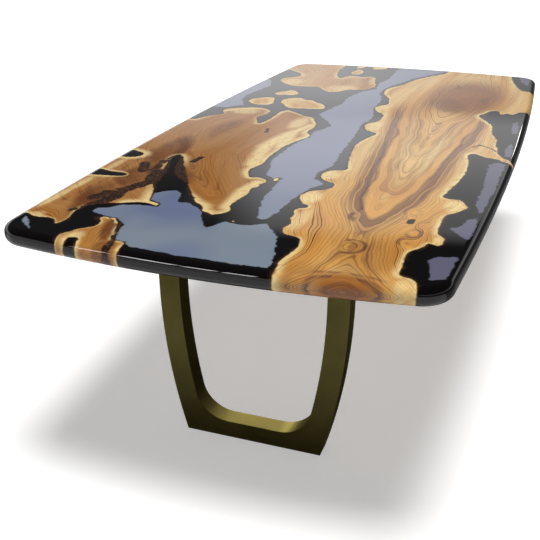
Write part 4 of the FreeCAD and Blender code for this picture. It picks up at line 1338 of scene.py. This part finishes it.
    def spread_resin(self, middles: np.ndarray) -> None:
        """Let each body of resin spread from the places inside it until it meets the wood.

        Args:
            middles: The middles of the sheet's triangles.
        """
        beside: dict[tuple[int, int], list[int]] = defaultdict(list)
        for index in np.nonzero(self.owners < 0)[0].tolist():
            a, b, c = self.triangles[index].tolist()
            for pair in ((a, b), (b, c), (c, a)):
                beside[min(pair), max(pair)].append(index)
        neighbours: dict[int, list[int]] = defaultdict(list)
        for pair in beside.values():
            if len(pair) == 2:
                neighbours[pair[0]].append(pair[1])
                neighbours[pair[1]].append(pair[0])
        for name, places in RESIN_PLACES.items():
            for place in self.outline.place_of(places):
                gaps = np.hypot(*(middles - place).T)
                gaps[self.owners >= 0] = np.inf
                wave = [int(np.argmin(gaps))]
                while wave:
                    index = wave.pop()
                    if self.owners[index] < 0:
                        self.owners[index] = self.names.index(name)
                        wave.extend(neighbours[index])

    def level(self, point: int, layer: Layer) -> float:
        """Height of a sheet point on one of the top's faces.

        Args:
            point: The point's number on the sheet.
            layer: The face.

        Returns:
            The height above the floor.
        """
        if layer is Layer.GROOVE_ROOF:
            return self.height - self.thickness + self.groove_depth
        reach = self.thickness / 2 - self.outline.edge_radius + self.rise[point]
        return self.height - self.thickness / 2 + (reach if layer is Layer.TOP else -reach)

    def close_up(self, mine: np.ndarray) -> PieceMesh:
        """Close one node's share of the sheet into a solid.

        Args:
            mine: Numbers of its triangles.

        Returns:
            The solid's corners and faces.
        """
        cast = PieceMesh(self)
        uses: dict[tuple[int, int], list[tuple[int, int, Layer]]] = defaultdict(list)
        for triangle, sunk in zip(self.triangles[mine].tolist(), self.grooves[mine].tolist()):
            low = Layer.GROOVE_ROOF if sunk else Layer.UNDERSIDE
            cast.add([cast.corner(point, Layer.TOP) for point in triangle],
                     [tuple(self.normals[point]) for point in triangle])
            below = triangle[::-1]
            downward = [(0.0, 0.0, -1.0) if sunk else (x, y, -z) for x, y, z in self.normals[below]]
            cast.add([cast.corner(point, low) for point in below], downward)
            for start, end in zip(triangle, triangle[1:] + triangle[:1]):
                uses[min(start, end), max(start, end)].append((start, end, low))
        for sides in uses.values():
            cast.close_side(sides)
        return cast

    def paint(self, piece: bpy.types.Object, name: str, columns: tuple[np.ndarray, ...]) -> None:
        """Store three columns of numbers on a piece's vertices."""
        values = np.column_stack(columns).astype(np.float32)
        piece.data.attributes.new(name, "FLOAT_VECTOR", "POINT").data.foreach_set("vector", values.ravel())

    def patches(self, plan: np.ndarray, patches: tuple[Patch, ...]) -> np.ndarray:
        """Lay soft oval patches over plan points.

        Args:
            plan: Plan places, one row each.
            patches: The patches.

        Returns:
            The strongest patch's strength at each point.
        """
        total = np.zeros(len(plan))
        for patch in patches:
            away = plan - self.outline.place_of(patch.place)
            turn = math.radians(patch.turn_deg)
            along = away @ np.array((math.cos(turn), math.sin(turn))) / (patch.along_mm * MM)
            across = away @ np.array((-math.sin(turn), math.cos(turn))) / (patch.across_mm * MM)
            fade = smooth(*self.patch_border, np.hypot(along, across))
            total = np.maximum(total, patch.strength * (1 - fade))
        return total

    def strokes(self, plan: np.ndarray, strokes: tuple[Stroke, ...]) -> np.ndarray:
        """Lay streaks over plan points.

        Args:
            plan: Plan places, one row each.
            strokes: The streaks.

        Returns:
            The strongest streak's strength at each point.
        """
        total = np.zeros(len(plan))
        for stroke in strokes:
            away = away_from_line(plan, self.outline.place_of(stroke.places))
            fade = smooth(*self.stroke_border, away / (stroke.width_mm * MM / 2))
            total = np.maximum(total, stroke.strength * (1 - fade))
        return total

    def run_grain(self, points: np.ndarray, figure: Figure) -> tuple[np.ndarray, np.ndarray]:
        """Work out how the growth rings run through a piece of wood.

        Args:
            points: Numbers of the piece's points on the sheet.
            figure: Its figure.

        Returns:
            Each point's distance across the rings and along them.
        """
        plan, live = self.plan[points], self.live[points]
        u = self.outline.share_of(plan)[:, 0]
        along = plan[:, 0]
        if figure.grain is Grain.CATHEDRAL:
            spine = away_from_line(plan, self.outline.place_of(figure.spine))
            across = np.hypot(spine, self.spine_round) - self.spine_round
            across -= np.interp(u, *np.array(figure.arch_mm).T) * MM
        elif figure.grain is Grain.SLANTED:
            grid = np.linspace(0, 1, self.slope_steps + 1)
            slope = np.interp(grid, *np.array(figure.slope).T)
            rise = np.concatenate(([0.0], np.cumsum(slope[1:] / self.slope_steps))) * self.outline.length
            across = plan[:, 1] - np.interp(u, grid, rise)
        else:
            across = live.copy()
            away = plan - plan.mean(axis=0)
            along = np.arctan2(away[:, 1], away[:, 0]) * self.slice_run
        # The rings meet the near end square, so they spread as arches down the round edge.
        drop = self.outline.edge_radius - self.rise[points]
        across -= self.end_fall * np.maximum(drop, 0) * (1 - smooth(*self.end_span, u))
        for knot in figure.knots:
            size = np.array((knot.along_mm, knot.across_mm)) * MM
            away = (plan - self.outline.place_of(knot.place)) / size
            across += knot.lift_mm * MM * np.exp(-(away ** 2).sum(axis=1))
        if figure.grain is not Grain.ONION:
            across += self.edge_lift * np.exp(-live / self.edge_reach)
        return across, along

    def dress_wood(self, piece: bpy.types.Object, points: np.ndarray, figure: Figure) -> None:
        """Store the fields that the wood's finish is drawn from.

        Args:
            piece: The piece of wood.
            points: Numbers of its vertices' points on the sheet.
            figure: Its figure.
        """
        across, along = self.run_grain(points, figure)
        plan, live = self.plan[points], self.live[points]
        u, v = self.outline.share_of(plan).T
        wave = np.sin(u * self.sapwood_waves[0] + figure.seed)
        wave += np.sin((v - 0.5) * self.sapwood_waves[1] + 2 * figure.seed)
        sapwood = figure.sapwood_mm * MM * (1 + self.sapwood_sway * wave)
        cream = 1 - smooth(*self.sapwood_border, live / sapwood)
        cream *= 1 - self.patches(plan, figure.bare)
        for layer in (self.patches(plan, figure.cream), self.strokes(plan, figure.cream_lines)):
            cream = np.maximum(cream, layer)
        streak = self.strokes(plan, figure.streaks)
        for band in figure.bands:
            away = np.abs(across - band.across_mm * MM) / (band.width_mm * MM / 2)
            core = 1 - smooth(*self.band_border, away)
            # A band starts within a short run and fades out over a longer one.
            run = smooth(band.start - .02, band.start + .03, u)
            run *= 1 - smooth(band.end - .06, band.end + .06, u)
            streak = np.maximum(streak, band.strength * core * run)
        warm = np.maximum(self.patches(plan, figure.warm), figure.amber_share)
        self.paint(piece, "figure", (across, along, np.full(len(plan), figure.seed)))
        self.paint(piece, "tone", (cream * self.cream_most, self.patches(plan, figure.heart), streak))
        self.paint(piece, "edge", (live, self.strokes(plan, figure.bark), warm))

    def dress_resin(self, piece: bpy.types.Object, points: np.ndarray) -> None:
        """Store where the painted reflection lies, how strong the painted reflection haze is and how near
        the bark lies.

        Args:
            piece: The body of resin.
            points: Numbers of its vertices' points on the sheet.
        """
        plan = self.plan[points]
        depth = np.full(len(plan), -np.inf)
        for outline in PAINTED_REFLECTION_POOLS:
            line = self.outline.place_of(outline + outline[:1])
            gap = away_from_line(plan, line)
            depth = np.maximum(depth, np.where(inside_loop(plan, line[:-1]), gap, -gap))
        # The painted reflection is full inside its outlines and fades across a soft border.
        painted_reflection_pool = np.clip(0.5 + depth / self.painted_reflection_border, 0, 1)
        u, v = self.outline.share_of(plan).T
        # Painted reflection haze greys the black from the middle of the river to the far end, but not along
        # the right rim or at the near left.
        painted_far_haze = smooth(.08, .3, u) * smooth(.1, .2, v) * (1 - (1 - smooth(.3, .5, u)) * smooth(.6, .72, v))
        bark = self.live[points] - self.nest_spread * self.patches(plan, BARK_NESTS)
        self.paint(piece, "painted_reflection_pool", (painted_reflection_pool, painted_far_haze, bark))


def nodes_in(slot: str) -> list[bpy.types.Object]:
    """CAD nodes to which the record gives a material slot."""
    rows = frame["record"]["subparts"]
    return [frame["nodes"][row["node"]] for row in rows if row["material_slot"] == slot]


@dataclass
class Metalwork:
    """The legs, plates, stiffeners, fasteners and feet, which keep their CAD shapes."""

    finishes: tuple[tuple[str, SprayedPaint], ...] = (
        ("leg_paint", BRONZE_PAINT), ("steel", ZINC_STEEL), ("channel_steel", BLACK_STEEL),
        ("brass", BRASS), ("foot_nylon", NYLON),
    )

    def dress(self) -> None:
        """Give each carried-over node the finish of its material slot."""
        for slot, finish in self.finishes:
            material = finish.material()
            for node in nodes_in(slot):
                node.data.materials.clear()
                node.data.materials.append(material)
                LOG.info("%s: %s", node.name, material.name)


@dataclass(frozen=True)
class Lamp:
    """A rectangular lamp that faces a target."""

    name: str
    place: Spot
    target: Spot
    size: Place
    power: float
    lights: bool = True
    mirrored: bool = True
    legs_only: bool = False


@dataclass
class Studio:
    """The pale floor, the soft light and the camera."""

    floor_radius: float = 60.0
    floor_sides: int = 96
    floor_grey: float = 0.8
    eye: Spot = (-3.0068, -0.8025, 1.5426)
    yaw: float = 0.3482
    pitch: float = 0.4120
    lens: float = 56.99
    # One wide lamp overhead gives the light and the shadow. The strips are only seen in the gloss: five
    # at the near rim and one at the right rim. The light that the underside throws back falls on the legs
    # alone, so the floor keeps its shadow.
    lamps: tuple[Lamp, ...] = (
        Lamp("overhead_lamp", (-2.4, -1.15, 14.0), (0.0, 0.0, 0.7), (4.4, 4.4), 1880.0, mirrored=False),
        *(
            Lamp(f"strip_lamp_{number}", (-6.3 + 0.47 * step, 3.3 + 0.78 * step, 4.2), (-1.32, 0.3, 0.74),
                 (0.62, 0.9), 22.0, lights=False)
            for number, step in enumerate((-1.75, -0.85, 0.0, 0.6, 1.6))
        ),
        Lamp("strip_lamp_right", (9.6, -1.8, 2.95), (0.0, -0.6, 0.74), (1.1, 0.2), 5.0, lights=False),
        Lamp("leg_lamp", (0.3, 0.25, 0.66), (-0.2, 0.1, 0.0), (0.9, 0.9), 33.0, legs_only=True),
    )

    def build(self) -> None:
        """Set up the floor, the sky, the lamps and the camera."""
        self.lay_floor()
        self.spread_sky()
        for lamp in self.lamps:
            self.hang(lamp)
        self.place_camera()
        bpy.context.scene.view_settings.view_transform = "Standard"

    def direct_rays(self, tree: bpy.types.NodeTree, path: bpy.types.Node) -> bpy.types.Node:
        """Pick out the rays that come straight from the camera or through something clear."""
        rays = {0: path.outputs["Is Camera Ray"], 1: path.outputs["Is Transmission Ray"]}
        return add_node(tree, "Math", rays, operation="MAXIMUM")

    def lay_floor(self) -> None:
        """Lay a wide round floor that shows white and keeps a soft shadow."""
        turns = np.linspace(0, math.tau, self.floor_sides, endpoint=False)
        radius = self.floor_radius
        rim = [(radius * math.cos(turn), radius * math.sin(turn), 0.0) for turn in turns]
        mesh = bpy.data.meshes.new("studio_floor")
        mesh.from_pydata(rim, [], [list(range(len(rim)))])
        mesh.materials.append(self.floor_material())
        floor = bpy.data.objects.new("studio_floor", mesh)
        bpy.context.scene.collection.objects.link(floor)

    def floor_material(self) -> bpy.types.Material:
        """Build the floor's matt white, which glows for the camera and less in the gloss.

        Returns:
            The floor's finish.
        """
        material, tree = new_material("studio_floor_white")
        path = add_node(tree, "LightPath")
        glossy = path.outputs["Is Glossy Ray"]
        place = add_node(tree, "NewGeometry").outputs["Position"]
        # In the gloss, the floor is pale before the table's near end and dark from there on, as a room is.
        along = add_node(tree, "SeparateXYZ", {0: place}).outputs[0]
        beyond, mirrored = (
            add_node(tree, "MapRange", {"Value": along, 1: -0.95, 2: -0.75, 3: near, 4: far})
            for near, far in ((0.0, 0.62), (0.12, 0.05))
        )
        seen = add_node(tree, "Math", {0: glossy, 1: mirrored, 2: self.direct_rays(tree, path)},
                        operation="MULTIPLY_ADD")
        dimmed = add_node(tree, "Math", {0: beyond, 1: glossy}, operation="MULTIPLY")
        shade = add_node(tree, "Math", {0: self.floor_grey, 1: dimmed}, operation="SUBTRACT")
        matt = add_node(tree, "BsdfDiffuse", {"Color": shade})
        away = add_node(tree, "VectorMath", {0: place}, operation="LENGTH")
        strength = add_node(tree, "MapRange", {"Value": away, 1: 1.6, 2: 6.0, 3: 0.42, 4: 1.0})
        glow = add_node(tree, "Emission", {"Color": WHITE, "Strength": strength})
        both = add_node(tree, "AddShader", {0: matt, 1: glow})
        mixed = add_node(tree, "MixShader", {0: seen, 1: matt, 2: both})
        add_node(tree, "OutputMaterial", {0: mixed})
        return material

    def spread_sky(self) -> None:
        """Spread a low sky that is pale on the left, and a band of window light everywhere else."""
        world = bpy.data.worlds.new("studio_sky")
        bpy.context.scene.world = world
        world.use_nodes = True
        tree = world.node_tree
        tree.nodes.clear()
        ray = add_node(tree, "TexCoord").outputs["Generated"]
        _, sideways, upwards = add_node(tree, "SeparateXYZ", {0: ray}).outputs
        low, pane = (add_node(tree, "ValToRGB", {"Fac": upwards}) for _ in range(2))
        set_stops(low, [(0.0, 0.88), (0.2, 0.83), (0.23, 0.64), (0.27, 0.1), (0.32, 0.04), (1.0, 0.05)])
        set_stops(pane, [
            (0.2, 0.0), (0.235, 0.74), (0.27, 0.74), (0.31, 0.56), (0.352, 0.46), (0.366, 0.03),
        ])
        left = add_node(tree, "MapRange", {"Value": sideways, 1: -0.12, 2: 0.26, 3: 0.08, 4: 1.0})
        jamb = add_node(tree, "MapRange", {"Value": sideways, 1: 0.32, 2: 0.385, 3: 1.0, 4: 0.0})
        around, window = (
            add_node(tree, "Math", {0: light, 1: share}, operation="MULTIPLY")
            for light, share in ((low, left), (pane, jamb))
        )
        shown = self.direct_rays(tree, add_node(tree, "LightPath"))
        for light in (around, window):
            shown = add_node(tree, "Math", {0: shown, 1: light}, operation="MAXIMUM")
        back = add_node(tree, "Background", {"Color": WHITE, "Strength": shown})
        add_node(tree, "OutputWorld", {0: back})

    def hang(self, lamp: Lamp) -> None:
        """Hang a lamp where it belongs.

        Args:
            lamp: The lamp's place, size and power.
        """
        light = bpy.data.lights.new(lamp.name, "AREA")
        light.shape = "RECTANGLE"
        light.size, light.size_y = lamp.size
        light.energy = lamp.power
        bulb = bpy.data.objects.new(lamp.name, light)
        bulb.location = lamp.place
        bulb.rotation_euler = (Vector(lamp.target) - Vector(lamp.place)).to_track_quat("-Z", "Y").to_euler()
        bulb.visible_glossy = lamp.mirrored
        bulb.visible_diffuse = lamp.lights
        bpy.context.scene.collection.objects.link(bulb)
        if lamp.legs_only:
            legs = bpy.data.collections.new(lamp.name + "_targets")
            for node in nodes_in("leg_paint"):
                legs.objects.link(node)
            bulb.light_linking.receiver_collection = legs

    def place_camera(self) -> None:
        """Put the camera where the photograph was taken from."""
        camera = bpy.data.cameras.new("photo_camera")
        camera.sensor_width = 36.0
        camera.lens = self.lens
        camera.clip_end = 200.0
        view = bpy.data.objects.new("photo_camera", camera)
        view.location = self.eye
        view.rotation_euler = (math.pi / 2 - self.pitch, 0.0, self.yaw - math.pi / 2)
        bpy.context.scene.collection.objects.link(view)
        bpy.context.scene.camera = view


def main() -> None:
    """Build the top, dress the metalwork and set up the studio."""
    logging.basicConfig(level=logging.INFO, format="%(message)s")
    RiverTop().build()
    Metalwork().dress()
    Studio().build()


if __name__ == "__main__":
    main()
